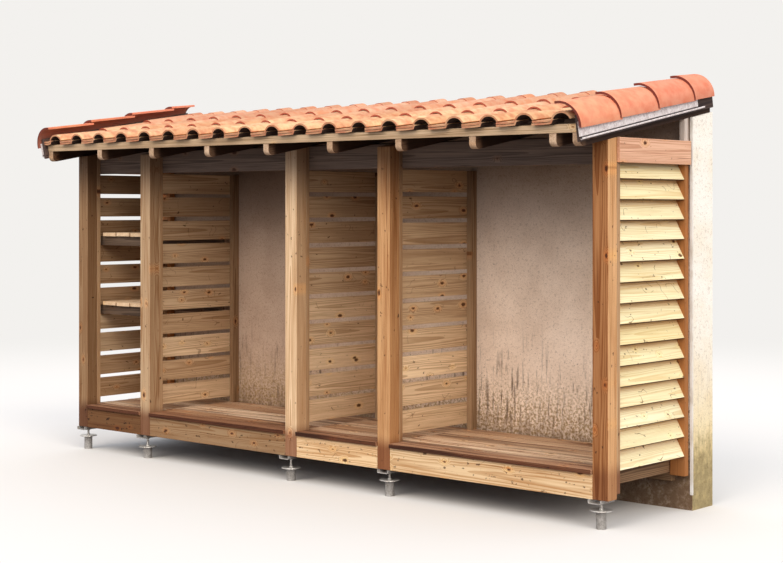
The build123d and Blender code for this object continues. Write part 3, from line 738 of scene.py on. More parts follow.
# %% The partitions and the louvred end
SLAT_NUDGE = 0.0022
SLAT_TURN = radians(0.16)
LOUVRE_TILT = radians(28)
PANEL_TONES = [(0.0, 0.5), (0.2, 0.95), (0.65, 1.0), (0.5, 1.0)]
for index, tones in enumerate(PANEL_TONES, 1):
    timber(f"slat_panel_{index}", Y_AXIS, SLAT_PINE, side=X_AXIS, tones=tones,
           nudge=SLAT_NUDGE, turn=SLAT_TURN, seed=20 + index)
louvre_width = Vector((-sin(LOUVRE_TILT), 0, cos(LOUVRE_TILT)))
timber("louvre_boards", Y_AXIS, LOUVRE_PINE, side=louvre_width, tones=(0.2, 0.95), seed=25)
for end_name in ("right", "left"):
    timber(f"side_top_board_{end_name}", Y_AXIS, BOARD_PINE, tones=(0.8, 0.9), seed=27)

# %% [markdown]
# The floor boards run along the front, behind a rim in each bay, and their edges are worn rounder than
# those of the rims. The shelf boards run from front to back on ledgers.

# %% The floor and the shelves
# The first two rims' low tones are painted shade; the others differ as the wood does
RIM_TONES_AND_SHADE = [0.0, 0.22, 0.84, 0.75]
DECK_EASE = 0.003
DECK_NUDGE = 0.0012
SHELF_NUDGE = 0.001
SHELF_TURN = radians(0.1)
for index, shade in enumerate(RIM_TONES_AND_SHADE, 1):
    timber(f"front_rim_{index}", X_AXIS, RIM_PINE, tones=[shade], seed=30 + index)
    timber(f"deck_{index}", X_AXIS, DECK_PINE, tones=(0.1, 0.98), ease=DECK_EASE,
           nudge=DECK_NUDGE, seed=40 + index)
timber("rear_ledger", X_AXIS, JOIST_PINE, seed=51)
timber("floor_joists", Y_AXIS, JOIST_PINE, seed=52)
for name, seed in (("lower_shelf", 53), ("upper_shelf", 54)):
    timber(name, Y_AXIS, SHELF_PINE, nudge=SHELF_NUDGE, turn=SHELF_TURN, seed=seed)
timber("shelf_ledgers", X_AXIS, LEDGER_PINE, seed=55)

# %% [markdown]
# ## The roof's own directions
#
# Everything on the roof is laid out up the slope. The pitch is a rise of 180 mm in a metre. The rafters'
# top edge at the back of the wall is the highest corner of their box, and the battens lift the tiles
# 38 mm above it. From that corner one function turns "how far up the slope, how far above the battens"
# into a place, for tiles and boards alike.

# %% Roof directions
ROOF_RISE = 0.18
PITCH = atan(ROOF_RISE)
UP_SLOPE = Vector((0, cos(PITCH), sin(PITCH)))
OFF_SLOPE = Vector((0, -sin(PITCH), cos(PITCH)))
BATTEN = 0.038

rafter_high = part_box("rafters")[1]
post_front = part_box("post_3")[0].y
tile_line = rafter_high.z + BATTEN / cos(PITCH) - (rafter_high.y - post_front) * ROOF_RISE


def on_roof(x, up, above):
    """The place at a distance up the slope from the posts' front face and above the battens."""
    return Vector((x, post_front, tile_line)) + UP_SLOPE * up + OFF_SLOPE * above


ROOF_END = (rafter_high.y - post_front) / cos(PITCH)
print("tile line over the posts at", round(tile_line, 4), "m; slope runs to", round(ROOF_END, 3), "m")

# %% [markdown]
# The roof's timbers have a dark colour that is painted shade, since they never see the sun. Only the
# ends of the rafters and the board on them catch the light at the eaves, and both are paler; behind the
# ends the rafters get painted shade.

# %% The roof timbers
timber("front_beam", X_AXIS, ROOF_PINE, seed=61)
timber("rafters", UP_SLOPE, TAIL_PINE, tones=(0.3, 0.8), seed=62)
timber("eaves_board", X_AXIS, EAVES_PINE, side=UP_SLOPE, tones=[0.7], seed=63)
timber("tile_battens", X_AXIS, ROOF_PINE, side=UP_SLOPE, seed=64)
timber("verge_boards", UP_SLOPE, VERGE_PINE, seed=65)

# %% [markdown]
# ## Fired clay
#
# Roll tiles are pressed from red clay and fired. New ones are an even orange-salmon with a pale bloom of
# salts on top, and the raw edge at the lower end is a deeper red, made darker still by painted shade; at
# the eaves it is painted lighter, where the light reaches it. The bloom is a soft noise some 60 mm wide,
# the fire-flashing a wider one, and the sand in the clay a fine grit. Each tile has its own tone; the
# faces at its lower end are marked as raw, and those below as under, where the roof's clay gets painted
# shade. The rows near the eaves are the yellowest.

# %% Clay
BLOOM_SIZE = 0.06
BLOOM_EDGES = (0.28, 0.66)
FLASH_SIZE = 0.4
FLASH_EDGES = (0.35, 0.65)
# Sand grains are finer than a millimetre and would not show, so the grit is drawn 2 mm coarse
GRIT_SIZE = 0.002
GRIT_RELIEF = 0.0008
UP_THE_ROOF = (-0.6, 0.5)
SEED_OF_TILE = 43.0
STORE_ROUGHNESS = 0.6


def store_noise(tree, size, detail=3, seed=0.0, stretch=(1, 1, 1)):
    """Noise on the store's own metres, of a given size in metres."""
    place = add(tree, "TexCoord").outputs["Object"]
    scaled = add(tree, "VectorMath", (place, stretch), operation="MULTIPLY")
    return add(tree, "TexNoise", {"Vector": scaled, "W": seed, "Scale": 1 / size, "Detail": detail,
                                  "Roughness": STORE_ROUGHNESS}, noise_dimensions="4D")


def fired_clay(name, body, flash, bloom, bloom_high, raw, below, bloom_amount):
    """Fired clay: matt, with salts on its face, fire-flashing, sandy grit, and painted shade on raw ends and
    under faces.
    """
    material, tree, shader = new_material(name)
    tone, raw_end, painted_shade_under = (add(tree, "Attribute", attribute_name=mark).outputs["Fac"]
                                for mark in ("tone", "raw", "under"))
    seed = add(tree, "Math", (tone, SEED_OF_TILE), operation="MULTIPLY")
    flashes = store_noise(tree, FLASH_SIZE, 2, seed)
    salts = store_noise(tree, BLOOM_SIZE, 5, seed)
    up_roof = add(tree, "MapRange", (store_axis(tree, 1), *UP_THE_ROOF), **SMOOTH)
    bloom_there = lay_coats(tree, bloom, [(up_roof, bloom_high, COVER)])
    coats = [
        (add(tree, "MapRange", (flashes, *FLASH_EDGES), **SMOOTH), flash, COVER),
        (add(tree, "MapRange", (salts, *BLOOM_EDGES, 0.0, bloom_amount), **SMOOTH), bloom_there, COVER),
        (add(tree, "Math", (1.0, tone), operation="SUBTRACT"), "#e0cfc4", DARKEN),
        (raw_end, raw, COVER),
        (painted_shade_under, below, COVER),
    ]
    grit = store_noise(tree, GRIT_SIZE, 2)
    relief = add(tree, "Bump", {"Height": grit, "Strength": 0.35, "Distance": GRIT_RELIEF})
    feed(tree, shader, {"Base Color": lay_coats(tree, body, coats), "Normal": relief, "Roughness": 0.78,
                        "Specular IOR Level": 0.3})
    return material


# The below colours are painted shade on the tiles' inner faces; the raw colours are a deeper red, partly
# painted shade
ROOF_CLAY = fired_clay("fired_clay_roll_tiles", body="#d38c63", flash="#cd8668", bloom="#efcf9f",
                       bloom_high="#d2a88a", raw="#a85640", below="#3d2d29", bloom_amount=0.9)
VERGE_CLAY = fired_clay("fired_clay_verge_tiles", body="#de8560", flash="#e08466", bloom="#eba47e",
                        bloom_high="#eba487", raw="#74352a", below="#b5705a", bloom_amount=0.75)
print("clays made:", ROOF_CLAY.name, VERGE_CLAY.name)

# %% [markdown]
# ## Roll tiles
#
# Each tile is a shallow pan with a roll along its right side, and the roll's free edge laps over the next
# tile's pan. That lap, and the step where one course sits on the one below, are the dark lines that make
# a tiled roof. A tile could be cut from a block, but it is made as it is pressed: one line across it,
# drawn with a few points, is pulled up the slope and given its thickness.

# %% The line across a roll tile
TILE_WALL = 0.011
PAN_WIDTH = 0.132
PAN_DISH = 0.004
PAN_STEPS = 5
ROLL_HALF = 0.070
ROLL_CROWN = 0.060
FREE_EDGE = 0.005
ROLL_STEPS = 12


def tile_section(pan_width, free_edge=FREE_EDGE):
    """Points on a tile's upper face: the dished pan from its left edge, then the roll to its free edge."""
    points = []
    for step in range(PAN_STEPS):
        share = step / PAN_STEPS
        points.append((-ROLL_HALF - pan_width * (1 - share), TILE_WALL + PAN_DISH * share ** 3))
    rise = ROLL_CROWN - TILE_WALL - PAN_DISH
    arc_radius = (ROLL_HALF ** 2 + rise ** 2) / (2 * rise)
    for step in range(ROLL_STEPS + 1):
        x = ROLL_HALF * (2 * step / ROLL_STEPS - 1)
        lifted = free_edge * max(0, x / ROLL_HALF)
        points.append((x, ROLL_CROWN - arc_radius + (arc_radius ** 2 - x ** 2) ** 0.5 + lifted))
    return points


print("points across a tile:", len(tile_section(PAN_WIDTH)))

# %% [markdown]
# Pulling the line is an extrude of its edges, with the new points put where the tile's head is. Then the
# sheet gets its wall, and its faces are marked for the clay: those at the lower end as raw, and those of
# the inner side as under.

# %% Press one tile
RAW_DEPTH = 0.012


def marks(bm):
    """The tone of each vertex and the raw and under marks of each face, made once for a mesh."""
    return (bm.verts.layers.float.get("tone") or bm.verts.layers.float.new("tone"),
            bm.faces.layers.float.get("raw") or bm.faces.layers.float.new("raw"),
            bm.faces.layers.float.get("under") or bm.faces.layers.float.new("under"))


def pull_sheet(bm, section, place_foot, place_head):
    """Pulls a line of points up the slope into a sheet; gives its faces and, foot first, its vertices."""
    foot = [bm.verts.new(place_foot(*point)) for point in section]
    edges = [bm.edges.new(pair) for pair in zip(foot, foot[1:])]
    made = bmesh.ops.extrude_edge_only(bm, edges=edges)["geom"]
    head = []
    for vert, point in zip(foot, section):
        for edge in vert.link_edges:
            other = edge.other_vert(vert)
            if other not in foot:
                other.co = place_head(*point)
                head.append(other)
    faces = [f for f in made if isinstance(f, bmesh.types.BMFace)]
    bmesh.ops.recalc_face_normals(bm, faces=faces)
    if sum(f.normal.z for f in faces) < 0:
        bmesh.ops.reverse_faces(bm, faces=faces)
    return faces, foot + head


def press_tile(bm, section, place_foot, place_head, value, wall=TILE_WALL, raw_share=1.0):
    """Makes a tile with a wall, of one tone, and marks its lower end as raw clay."""
    tone, raw, under = marks(bm)
    faces, sheet = pull_sheet(bm, section, place_foot, place_head)
    bmesh.ops.solidify(bm, geom=faces, thickness=wall)
    corner = sheet[0]
    upper_side = set(sheet)
    tile = joined_to(corner)
    for vert in tile:
        vert[tone] = value
    lowest = min((v.co - corner.co).dot(UP_SLOPE) for v in tile)
    for face in {f for v in tile for f in v.link_faces}:
        face.smooth = True
        # Faces on the inner side are marked under, for painted shade in the clay
        face[under] = 0.0 if upper_side.intersection(face.verts) else 1.0
        if all((v.co - corner.co).dot(UP_SLOPE) < lowest + RAW_DEPTH for v in face.verts):
            face[raw] = raw_share
            face.smooth = False


print("the lowest", 1000 * RAW_DEPTH, "mm of a tile are raw clay")

# %% [markdown]
# A course is a row of tiles from verge to verge. The spacing of the rolls is what fits between the two
# ends, as a roofer would set it out. The first course lies on a row of flat starter tiles, so its arches
# stay open and dark at the eaves.

# %% Set out the courses
ROLL_CROWN_FIRST = 0.136
ROLL_CROWN_LAST = 0.1004
ROLL_PITCH = 0.2562
EAVES_REACH = 0.320
TILE_GAUGE = 0.450
LEAST_TILE = 0.06

left_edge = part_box("post_1")[0].x
right_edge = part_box("post_5")[1].x
roll_span = right_edge - left_edge - ROLL_CROWN_FIRST - ROLL_CROWN_LAST
roll_count = round(roll_span / ROLL_PITCH) + 1
course_starts = []
start = -EAVES_REACH / cos(PITCH)
while start < ROOF_END - LEAST_TILE:
    course_starts.append(start)
    start += TILE_GAUGE
print(len(course_starts), "courses of", roll_count, "rolls")

# %% [markdown]
# Laid by hand, each tile slips, rocks and skews by a few millimetres. The pan of the first tile is cut to
# fit the left verge, and a tile's head is a little narrower than its foot, so that the next one up fits
# over it.

# %% Lay a row of tiles
TILE_SKEW = 0.002
TILE_SLIP = 0.006
TILE_ROCK = 0.0015
HEAD_NARROWER = 0.97


def lay_row(bm, chance, start, end, lift, slope, section_of, tone_range, raw_share):
    """One row of tiles side by side; slope is how fast a tile sinks towards the battens."""
    for roll in range(roll_count):
        crown = left_edge + ROLL_CROWN_FIRST + roll_span * roll / (roll_count - 1)
        pan = min(PAN_WIDTH, crown - ROLL_HALF - left_edge)
        shift = chance.uniform(-TILE_SKEW, TILE_SKEW)
        skew = chance.uniform(-TILE_SKEW, TILE_SKEW)
        slip = chance.uniform(0, TILE_SLIP)
        rock = chance.uniform(0, TILE_ROCK)

        def foot(x, above):
            return on_roof(crown + x + shift, start + slip, above + lift + rock)

        def head(x, above):
            return on_roof(crown + x * HEAD_NARROWER + skew, end, above + lift - slope * (end - start))

        press_tile(bm, section_of(pan), foot, head, chance.uniform(*tone_range), raw_share=raw_share)


print("a tile slips by up to", 1000 * TILE_SLIP, "mm")

# %% [markdown]
# Each tile's head lies on the battens and its foot on the course below, so a tile sinks a little up the
# slope. The first course has no course below and lies on its starters, which tilt it more.

# %% Lay the courses
TILE_LAP = 0.045
TILE_STEP = 0.014
FIRST_STEP = 0.0283
COURSE_GAP = 0.001
STARTER_LENGTH = 0.12
# The raw ends at the eaves take less of the raw colour, as painted light where they catch it
EAVES_RAW_PAINTED_LIGHTER = 0.45
COURSE_TONES = (0.1, 1.0)
STARTER_TONES = (0.3, 0.9)
TILE_CREASE = radians(35)


def flat_starter(pan_width):
    """The line across a starter tile, which is only as wide as the pan above it."""
    return tile_section(pan_width, free_edge=0.0)[:PAN_STEPS + 2]


def lay_course(number):
    """One course of tiles, from verge to verge; the first lies on a row of starter tiles."""
    chance = Random(100 + number)
    bm = bmesh.new()
    marks(bm)
    start = course_starts[number] + COURSE_GAP
    end = start + TILE_GAUGE + TILE_LAP
    if number == len(course_starts) - 1:
        end = ROOF_END - (ROLL_CROWN + TILE_STEP) * sin(PITCH) - COURSE_GAP
    slope = (FIRST_STEP if number == 0 else TILE_STEP) / TILE_GAUGE
    lift = slope * min(TILE_GAUGE, end - start)
    raw_share = EAVES_RAW_PAINTED_LIGHTER if number == 0 else 1.0
    lay_row(bm, chance, start, end, lift, slope, tile_section, COURSE_TONES, raw_share)
    if number == 0:
        lay_row(bm, chance, start, start + STARTER_LENGTH, lift - TILE_STEP, slope, flat_starter,
                STARTER_TONES, EAVES_RAW_PAINTED_LIGHTER)
    return bm


for number in range(len(course_starts)):
    finish_piece(lay_course(number), f"roll_tiles_{number + 1}", ROOF_CLAY,
                 [f"tile_course_{number + 1}"], TILE_CREASE)

# %% [markdown]
# ## Verge tiles
#
# A large rounded tile closes each end of the roof. Its upper edge lies past the crown of the last roll,
# and its lower one hangs outside the metal apron. Seen from the side these tiles are the smoothest clay
# on the roof, so the line across them is an arch of many steps.

# %% The line across a verge tile
VERGE_WALL = 0.014
VERGE_INNER = 0.1273
ARCH_STEPS = 22
ARCH_START = pi / 2 + radians(10)
ARCH_SWEEP = ARCH_START + radians(6)

verge_outer = VERGE_INNER + VERGE_WALL
verge_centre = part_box("verge_tiles_right")[1].x - verge_outer
arch_turns = [ARCH_START - ARCH_SWEEP * step / ARCH_STEPS for step in range(ARCH_STEPS + 1)]
verge_arch = [(cos(turn), sin(turn)) for turn in arch_turns]
print("the arch of a verge tile has a radius of", round(1000 * verge_outer, 1), "mm")

# %% [markdown]
# Each verge tile tapers up the slope, so that the next one laps over it with a step all round, and its
# lower lip shows the raw red edge. Both ends are made as the right one, and the left one is mirrored,
# with its faces turned round again because a mirror turns them inwards.

# %% Lay the verge tiles
VERGE_GAUGE = 0.410
VERGE_PAST_EAVES = 0.031
VERGE_SETBACK = 0.0052
VERGE_LAP = 0.03
VERGE_DROP = 0.005
VERGE_TAPER = 0.010
VERGE_SLIP = 0.004
VERGE_TONES = (0.4, 1.0)
ENDS = {"right": 1, "left": -1}


def move_to_end(bm, side):
    """Leaves what was made for the right end there, or mirrors it to the left end for side -1."""
    if side < 0:
        bmesh.ops.scale(bm, vec=(-1, 1, 1), verts=bm.verts)
        bmesh.ops.reverse_faces(bm, faces=bm.faces)
        bmesh.ops.translate(bm, vec=(left_edge + right_edge, 0, 0), verts=bm.verts)
    return bm


def lay_verge(side):
    """The verge tiles of one end, from the eaves up."""
    chance = Random(7 + side)
    bm = bmesh.new()
    marks(bm)
    top = ROOF_END - verge_outer * sin(PITCH)
    start = course_starts[0] - VERGE_PAST_EAVES
    while start < top - LEAST_TILE:
        end = min(start + VERGE_GAUGE, top)
        lift = TILE_STEP * (end - start) / VERGE_GAUGE - VERGE_DROP
        foot_at = start + VERGE_SETBACK + chance.uniform(0, VERGE_SLIP)
        head_at = min(end + VERGE_LAP, top) - COURSE_GAP

        def foot(x, above):
            return on_roof(verge_centre + x * verge_outer, foot_at, above * verge_outer + lift)

        def head(x, above):
            radius = verge_outer - VERGE_TAPER
            return on_roof(verge_centre + x * radius, head_at, above * radius - VERGE_DROP)

        press_tile(bm, verge_arch, foot, head, chance.uniform(*VERGE_TONES), VERGE_WALL)
        start += VERGE_GAUGE
    return move_to_end(bm, side)


for end_name, side in ENDS.items():
    finish_piece(lay_verge(side), f"verge_tiles_laid_{end_name}", VERGE_CLAY,
                 [f"verge_tiles_{end_name}"], TILE_CREASE)

# %% [markdown]
# ## Rendered wall
#
# The party wall is hollow block under a lime render. Its outer side faces the weather and is cream;
# inside the bays it is a beige grey, with painted shade that darkens it under the roof and towards the
# left, where it gets less light. The wall is one flat mass and stays the CAD solid: only its finish is
# made here. Render is trowelled, so it has a fine grain and no sharp pattern, and the coat underneath is
# soft clouds.

# %% The trowelled coat
CLOUD_SIZE = 0.4
FACES_THE_BAYS = (-0.9, -0.5, 1.0, 0.0)
PAINTED_SHADE_HIGH_ON_WALL = (1.5, 2.3)
PAINTED_SHADE_TO_THE_LEFT = (-0.4, 0.9, 1.0, 0.0)
LOW_OUTSIDE = (1.1, 0.2)
CREAM_CLOUDS = (0.35, 0.7)
BEIGE_CLOUDS = (0.3, 0.7)


def trowelled_coats(tree, inside, height, cloud):
    """The colour of clean render, cream outside and beige inside, with painted shade inside high and to the
    left.
    """
    cream = lay_coats(tree, "#fffaef", [
        (add(tree, "MapRange", (cloud, *CREAM_CLOUDS), **SMOOTH), "#f8ecd6", COVER),
        (add(tree, "MapRange", (height, *LOW_OUTSIDE), **SMOOTH), "#f2e0ae", DARKEN)])
    beige = lay_coats(tree, "#f8e4d0", [
        (add(tree, "MapRange", (cloud, *BEIGE_CLOUDS), **SMOOTH), "#e3cdb8", COVER),
        # Painted shade darkens the inner side under the roof and towards the left
        (add(tree, "MapRange", (height, *PAINTED_SHADE_HIGH_ON_WALL), **SMOOTH), "#a39b97", DARKEN),
        (add(tree, "MapRange", (store_axis(tree, 0), *PAINTED_SHADE_TO_THE_LEFT), **SMOOTH), "#cfc4bc", DARKEN)])
    return lay_coats(tree, cream, [(inside, beige, COVER)])


print("render clouds are", CLOUD_SIZE, "m wide")

# %% [markdown]
# Near the foot of the wall the render is dirty. Damp soil colour sits in patches just above the floor,
# and dark water ran down in streaks. Each kind of dirt is a noise of its own size that is kept to a band
# of heights.

# %% Damp and runs on the render
COARSE_SIZE = 0.017
DAMP_BAND = (0.85, 0.36)
DAMP_PATCHES = (0.42, 0.58, 0.0, 0.9)
RUN_SIZE = 0.022
RUN_STRETCH = (1, 1, 0.09)
RUNS_START = (0.36, 0.5)
RUNS_END = (0.6, 1.15, 1.0, 0.0)
RUN_EDGES = (0.54, 0.63)
RUNS_OUTSIDE = 0.35
RUNS_IN_CLOUDS = (0.40, 0.60, 0.15, 0.85)


def damp_coat(tree, inside, height, coarse):
    """Damp soil colour in patches on the inner side."""
    low = add(tree, "MapRange", (height, *DAMP_BAND), **SMOOTH)
    patches = add(tree, "MapRange", (coarse, *DAMP_PATCHES), **SMOOTH)
    return where_all_hold(tree, low, patches, inside), "#9f8455", COVER


def run_coat(tree, inside, height, cloud, runs):
    """Runs of dark water, stronger on the inner side and where the clouds are."""
    streaks = add(tree, "MapRange", (runs, *RUN_EDGES), **SMOOTH)
    above = add(tree, "MapRange", (height, *RUNS_START), **SMOOTH)
    below = add(tree, "MapRange", (height, *RUNS_END), **SMOOTH)
    stronger_inside = add(tree, "Math", (inside, 1 - RUNS_OUTSIDE, RUNS_OUTSIDE), operation="MULTIPLY_ADD")
    in_clouds = add(tree, "MapRange", (cloud, *RUNS_IN_CLOUDS), **SMOOTH)
    return where_all_hold(tree, streaks, above, below, stronger_inside, in_clouds), "#5b493b", COVER


print("runs are drawn", round(1000 * RUN_SIZE), "mm wide")

# %% [markdown]
# Lower down the render is pitted, and soil splashed up with a ragged edge. The runs and a coarser mottle
# raise that edge here and lower it there.

# %% Pits and splashes on the render
PIT_SIZE = 0.009
PIT_BAND = (0.3, 1.6)
PIT_LIMIT = 0.60
PIT_LIMIT_RISE = 0.09
PIT_EDGES = (0.0, 0.05, 0.0, 0.75)
MOTTLE_SIZE = 0.05
SPLASH_FOOT = 0.19
SPLASH_BY_RUNS = 0.35
SPLASH_BY_MOTTLE = 0.3
SPLASH_DEPTH = (-0.05, 0.3)
SPLASH_MOTTLE = (0.3, 0.6, 0.7, 1.0)


def pit_coat(tree, inside, height):
    """Pits that get denser downwards on the inner side."""
    high = add(tree, "MapRange", (height, *PIT_BAND), **SMOOTH)
    limit = add(tree, "Math", (high, PIT_LIMIT_RISE, PIT_LIMIT), operation="MULTIPLY_ADD")
    over = add(tree, "Math", (store_noise(tree, PIT_SIZE, 2, 2.0), limit), operation="SUBTRACT")
    pits = add(tree, "MapRange", (over, *PIT_EDGES), **SMOOTH)
    return where_all_hold(tree, pits, inside), "#6e5847", COVER


def splash_coat(tree, inside, height, runs):
    """Splashed soil, with a ragged upper edge."""
    mottle = store_noise(tree, MOTTLE_SIZE, 5, 8.0)
    mottled = where_all_hold(tree, mottle, SPLASH_BY_MOTTLE)
    ragged = add(tree, "Math", (runs, SPLASH_BY_RUNS, mottled), operation="MULTIPLY_ADD")
    edge = add(tree, "Math", (ragged, SPLASH_FOOT), operation="ADD")
    depth = add(tree, "Math", (edge, height), operation="SUBTRACT")
    deep = add(tree, "MapRange", (depth, *SPLASH_DEPTH), **SMOOTH)
    thick = add(tree, "MapRange", (mottle, *SPLASH_MOTTLE), **SMOOTH)
    soil = lay_coats(tree, "#a3926a", [(inside, "#7a614b", COVER)])
    return where_all_hold(tree, deep, thick), soil, COVER


print("soil splashed up to about", round(SPLASH_FOOT + (SPLASH_BY_RUNS + SPLASH_BY_MOTTLE) / 2, 2), "m")

# %% [markdown]
# The wall wears all of these coats, with two grits over them that the trowel left. The corner beads are
# white plastic edging, and dust has settled on them in soft patches. Both nodes stay in view as CAD
# solids, so a function puts the finish in their material slots.

# %% Lime render and the bead on its corners
GRAIN_SIZE = 0.005
TROWEL_RELIEF = 0.0015
FINE_GRIT = (0.46, 0.70, 0.0, 0.35)
COARSE_GRIT = (0.55, 0.66, 0.0, 0.30)
DUST_SIZE = 0.12
DUST_EDGES = (0.4, 0.7)


def lime_render():
    """Matt lime render, cream outside and beige inside, with runs, pits, splashes of soil and painted shade.
    """
    material, tree, shader = new_material("trowelled_lime_render")
    inside = add(tree, "MapRange", (looks_along(tree, 1), *FACES_THE_BAYS), **SMOOTH)
    height = store_axis(tree, 2)
    cloud = store_noise(tree, CLOUD_SIZE, 5)
    runs = store_noise(tree, RUN_SIZE, 4, 3.3, RUN_STRETCH)
    grain = store_noise(tree, GRAIN_SIZE, 3)
    coarse = store_noise(tree, COARSE_SIZE, 2, 5.1)
    last = lay_coats(tree, trowelled_coats(tree, inside, height, cloud), [
        damp_coat(tree, inside, height, coarse),
        run_coat(tree, inside, height, cloud, runs),
        pit_coat(tree, inside, height),
        splash_coat(tree, inside, height, runs),
        (add(tree, "MapRange", (grain, *FINE_GRIT), **SMOOTH), "#a08c74", DARKEN),
        (add(tree, "MapRange", (coarse, *COARSE_GRIT), **SMOOTH), "#a08c74", DARKEN),
    ])
    relief = add(tree, "Bump", {"Height": grain, "Strength": 0.6, "Distance": TROWEL_RELIEF})
    feed(tree, shader, {"Base Color": last, "Normal": relief, "Roughness": 0.92, "Specular IOR Level": 0.2})
    return material


def white_bead():
    """White plastic edging, with dust settled on it in soft patches."""
    material, tree, shader = new_material("white_plastic_bead")
    dust = add(tree, "MapRange", (store_noise(tree, DUST_SIZE, 4), *DUST_EDGES), **SMOOTH)
    last = lay_coats(tree, "#f4f1ea", [(dust, "#d8d0c2", COVER)])
    feed(tree, shader, {"Base Color": last, "Roughness": 0.5})
    return material


def wear(node, material):
    """Gives a CAD node that stays in view its finish."""
    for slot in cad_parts[node].material_slots:
        slot.material = material
    print(node, "wears", material.name)


wear("party_wall", lime_render())
wear("corner_beads", white_bead())

# %% [markdown]
# ## Metalwork
#
# The apron is zinc sheet: a pale grey with a mauve cast, mottled by its first winters. The feet are
# hot-dip galvanised steel, whose zinc froze in flat crystals a centimetre wide, each catching the light
# a little differently.

# %% Zinc and galvanised steel
ZINC_CLOUDS = 0.05
ZINC_PITS = 0.005
CRYSTAL_WEIGHT = 0.3
CLOUD_WEIGHT = 0.9
ZINC_EDGES = (0.3, 0.95)
ZINC_PIT_EDGES = (0.58, 0.66, 0.0, 0.4)
POLISH_BELOW = 0.08
POLISH_ABOVE = 0.1


def zinc(name, pale, dark, size, metal, rough):
    """Zinc, mottled or in crystals: patches of two greys and two polishes; painted shade lies where "raw" is
    set.
    """
    material, tree, shader = new_material(name)
    place = add(tree, "TexCoord").outputs["Object"]
    crystals = add(tree, "TexVoronoi", {"Vector": place, "Scale": 1 / size})
    patch = add(tree, "SeparateXYZ", (crystals.outputs["Color"],))
    clouds = where_all_hold(tree, store_noise(tree, ZINC_CLOUDS, 5), CLOUD_WEIGHT)
    mixed = add(tree, "Math", (patch, CRYSTAL_WEIGHT, clouds), operation="MULTIPLY_ADD")
    pits = store_noise(tree, ZINC_PITS, 3)
    painted_groove_shade = add(tree, "Attribute", attribute_name="raw").outputs["Fac"]
    last = lay_coats(tree, pale, [
        (add(tree, "MapRange", (mixed, *ZINC_EDGES), **SMOOTH), dark, COVER),
        (add(tree, "MapRange", (pits, *ZINC_PIT_EDGES), **SMOOTH), "#6d6664", COVER),
        (painted_groove_shade, "#3c3533", COVER),
    ])
    polishes = (rough - POLISH_BELOW, rough + POLISH_ABOVE)
    polish = add(tree, "MapRange", (mixed, *ZINC_EDGES, *polishes), **SMOOTH)
    feed(tree, shader, {"Base Color": last, "Roughness": polish, "Metallic": metal})
    return material


SHEET_ZINC = zinc("mottled_zinc_sheet", "#fdf5f3", "#cfc2bf", size=0.012, metal=0.1, rough=0.5)
STEEL_ZINC = zinc("spangled_zinc_coating", "#d9d6d1", "#a39e97", size=0.009, metal=0.5, rough=0.36)
print("zinc finishes made:", SHEET_ZINC.name, STEEL_ZINC.name)

# %% [markdown]
# The apron hides the joint between the verge board and the tiles. It is folded from sheet: a flat face,
# a short step outwards, and a roll along the step that throws the water off and stiffens the edge. A
# line of points across it is pulled up the slope, like a tile, because a folded sheet has one section
# all along. Its front corner is clipped, so each point also says how far it is set back there.

# %% The line across an apron
APRON_HEAD = 0.028
APRON_MIDDLE = -0.01
APRON_FOLD = -0.062
STEP_DEPTH = 0.004
STEP_OUT = 0.007
EDGE_ROLL = 0.0066
ROLL_TURN = radians(250)
EDGE_STEPS = 9
CLIPPED_CORNER = 0.012
FACE_CLIPS = [0, 0, 0.003, 0.006]


def apron_section(face):
    """Points across an apron, from its head down to the roll on its edge, and how far each is clipped."""
    section = [(face, height) for height in (APRON_HEAD, APRON_MIDDLE, APRON_FOLD + STEP_DEPTH, APRON_FOLD)]
    roll_x, roll_height = face + STEP_OUT, APRON_FOLD - EDGE_ROLL
    for step in range(EDGE_STEPS + 1):
        turn = pi / 2 - ROLL_TURN * step / EDGE_STEPS
        section.append((roll_x + EDGE_ROLL * cos(turn), roll_height + EDGE_ROLL * sin(turn)))
    return section, FACE_CLIPS + [CLIPPED_CORNER] * (EDGE_STEPS + 1)


print("points across an apron:", len(apron_section(0.0)[0]))

# %% [markdown]
# An apron comes in lengths, each lapped over the next one up. The step above the roll lies in shade, so
# its faces are marked for painted shade in the material.

# %% Fold the aprons
SHEET = 0.0012
SHEET_GAP = 0.0003
# Where each length starts and ends up the slope, and how far it stands out over the next
APRON_SHEETS = ((0.016, 0.62, 0.0010), (0.60, 1.36, 0.0))
ROLL_PAST_END = 0.06
STEP_MARGIN = 0.001
APRON_CREASE = radians(25)

board_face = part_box("verge_boards")[1].x
apron_end = (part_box("apron_right")[1].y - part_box("post_1")[0].y) / cos(PITCH)
verge_front = course_starts[0] - VERGE_PAST_EAVES


def mark_painted_groove_shade(bm):
    """Marks the faces of the step above the roll for painted shade."""
    raw = marks(bm)[1]
    for strip in bm.faces:
        above = (strip.calc_center_median() - on_roof(0, 0, 0)).dot(OFF_SLOPE)
        strip[raw] = 1.0 if APRON_FOLD - STEP_MARGIN < above < APRON_FOLD + STEP_DEPTH else 0.0


def fold_apron(side):
    """The lengths of one apron, each pulled up the slope as one sheet."""
    bm = bmesh.new()
    marks(bm)
    for start, end, outstand in APRON_SHEETS:
        section, clips = apron_section(board_face + SHEET + outstand + SHEET_GAP)
        clip_of = dict(zip(section, clips))
        is_first = outstand > 0
        finish_at = min(verge_front + end, apron_end - ROLL_PAST_END)

        def foot(x, above):
            return on_roof(x, verge_front + start + (clip_of[(x, above)] if is_first else 0), above)

        def head(x, above):
            past = 0 if is_first or clip_of[(x, above)] < CLIPPED_CORNER else ROLL_PAST_END
            return on_roof(x, finish_at + past, above)

        press_tile(bm, section, foot, head, 1.0, SHEET)
    mark_painted_groove_shade(bm)
    return move_to_end(bm, side)


for end_name, side in ENDS.items():
    finish_piece(fold_apron(side), f"apron_folded_{end_name}", SHEET_ZINC,
                 [f"apron_{end_name}"], APRON_CREASE)

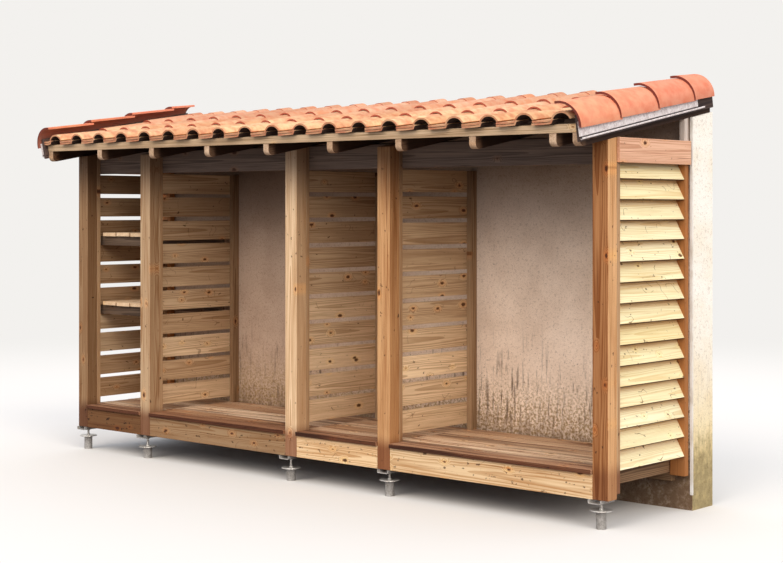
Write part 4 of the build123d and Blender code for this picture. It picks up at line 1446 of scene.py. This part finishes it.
# %% [markdown]
# Each post stands on a folded channel and a threaded rod, screwed down onto a round plate on top of a
# ground screw. The thread and the clamping screw in the tube are what shows that the feet are adjustable.
# A real thread is one long helix, but at this size a stack of short cones looks the same and needs fewer
# faces. Each clamping screw points its own way, a little to one side of the front.

# %% Thread the rods and dress the feet
THREAD_PITCH = 0.0032
THREAD_FILL = 0.55
THREAD_START = 0.014
THREAD_STOP = 0.042
ROD_RADIUS = 0.008
THREAD_RADIUS = ROD_RADIUS + 0.0007
ROD_SIDES = 16
CLAMP_RADIUS = 0.0065
CLAMP_LENGTH = 0.012
CLAMP_DROP = 0.034
CLAMP_OUT = 0.033
CLAMP_SIDES = 6
CLAMP_TURNS = (-0.4, 0.2)
CHANNEL_EASE = 0.0008
TUBE_EASE = 0.0012
rod_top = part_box("post_feet")[1].z - THREAD_STOP


def cut_thread(bm, place, plate_top):
    """Puts the rings of a thread round a rod, from its plate up to the channel."""
    height = plate_top + THREAD_START
    while height < rod_top:
        ring = bmesh.ops.create_cone(bm, cap_ends=True, segments=ROD_SIDES, radius1=THREAD_RADIUS,
                                     radius2=ROD_RADIUS, depth=THREAD_PITCH * THREAD_FILL)["verts"]
        bmesh.ops.translate(bm, vec=(place.x, place.y, height), verts=ring)
        height += THREAD_PITCH


def add_clamp(bm, place, plate_top, turn):
    """Puts a six-sided clamping screw in the tube under a plate, at an angle to the front."""
    clamp = bmesh.ops.create_cone(bm, cap_ends=True, segments=CLAMP_SIDES, radius1=CLAMP_RADIUS,
                                  radius2=CLAMP_RADIUS, depth=CLAMP_LENGTH)["verts"]
    out = Vector((sin(turn), -cos(turn), 0))
    bmesh.ops.rotate(bm, verts=clamp, matrix=out.to_track_quat("Z", "Y").to_matrix())
    spot = Vector((place.x, place.y, plate_top - CLAMP_DROP)) + out * CLAMP_OUT
    bmesh.ops.translate(bm, vec=spot, verts=clamp)


foot_chance = Random(77)
feet = copy_of("post_feet")
ease_edges(feet, CHANNEL_EASE, 1)
screws = copy_of("ground_screws")
tube_places = [(centre_of(tube), max(v.co.z for v in tube)) for tube in separate(screws)]
ease_edges(screws, TUBE_EASE, 1)
for place, plate_top in tube_places:
    cut_thread(feet, place, plate_top)
    add_clamp(screws, place, plate_top, foot_chance.uniform(*CLAMP_TURNS))
for bm, node in ((feet, "post_feet"), (screws, "ground_screws")):
    finish_piece(bm, node + "_dressed", STEEL_ZINC, [node])
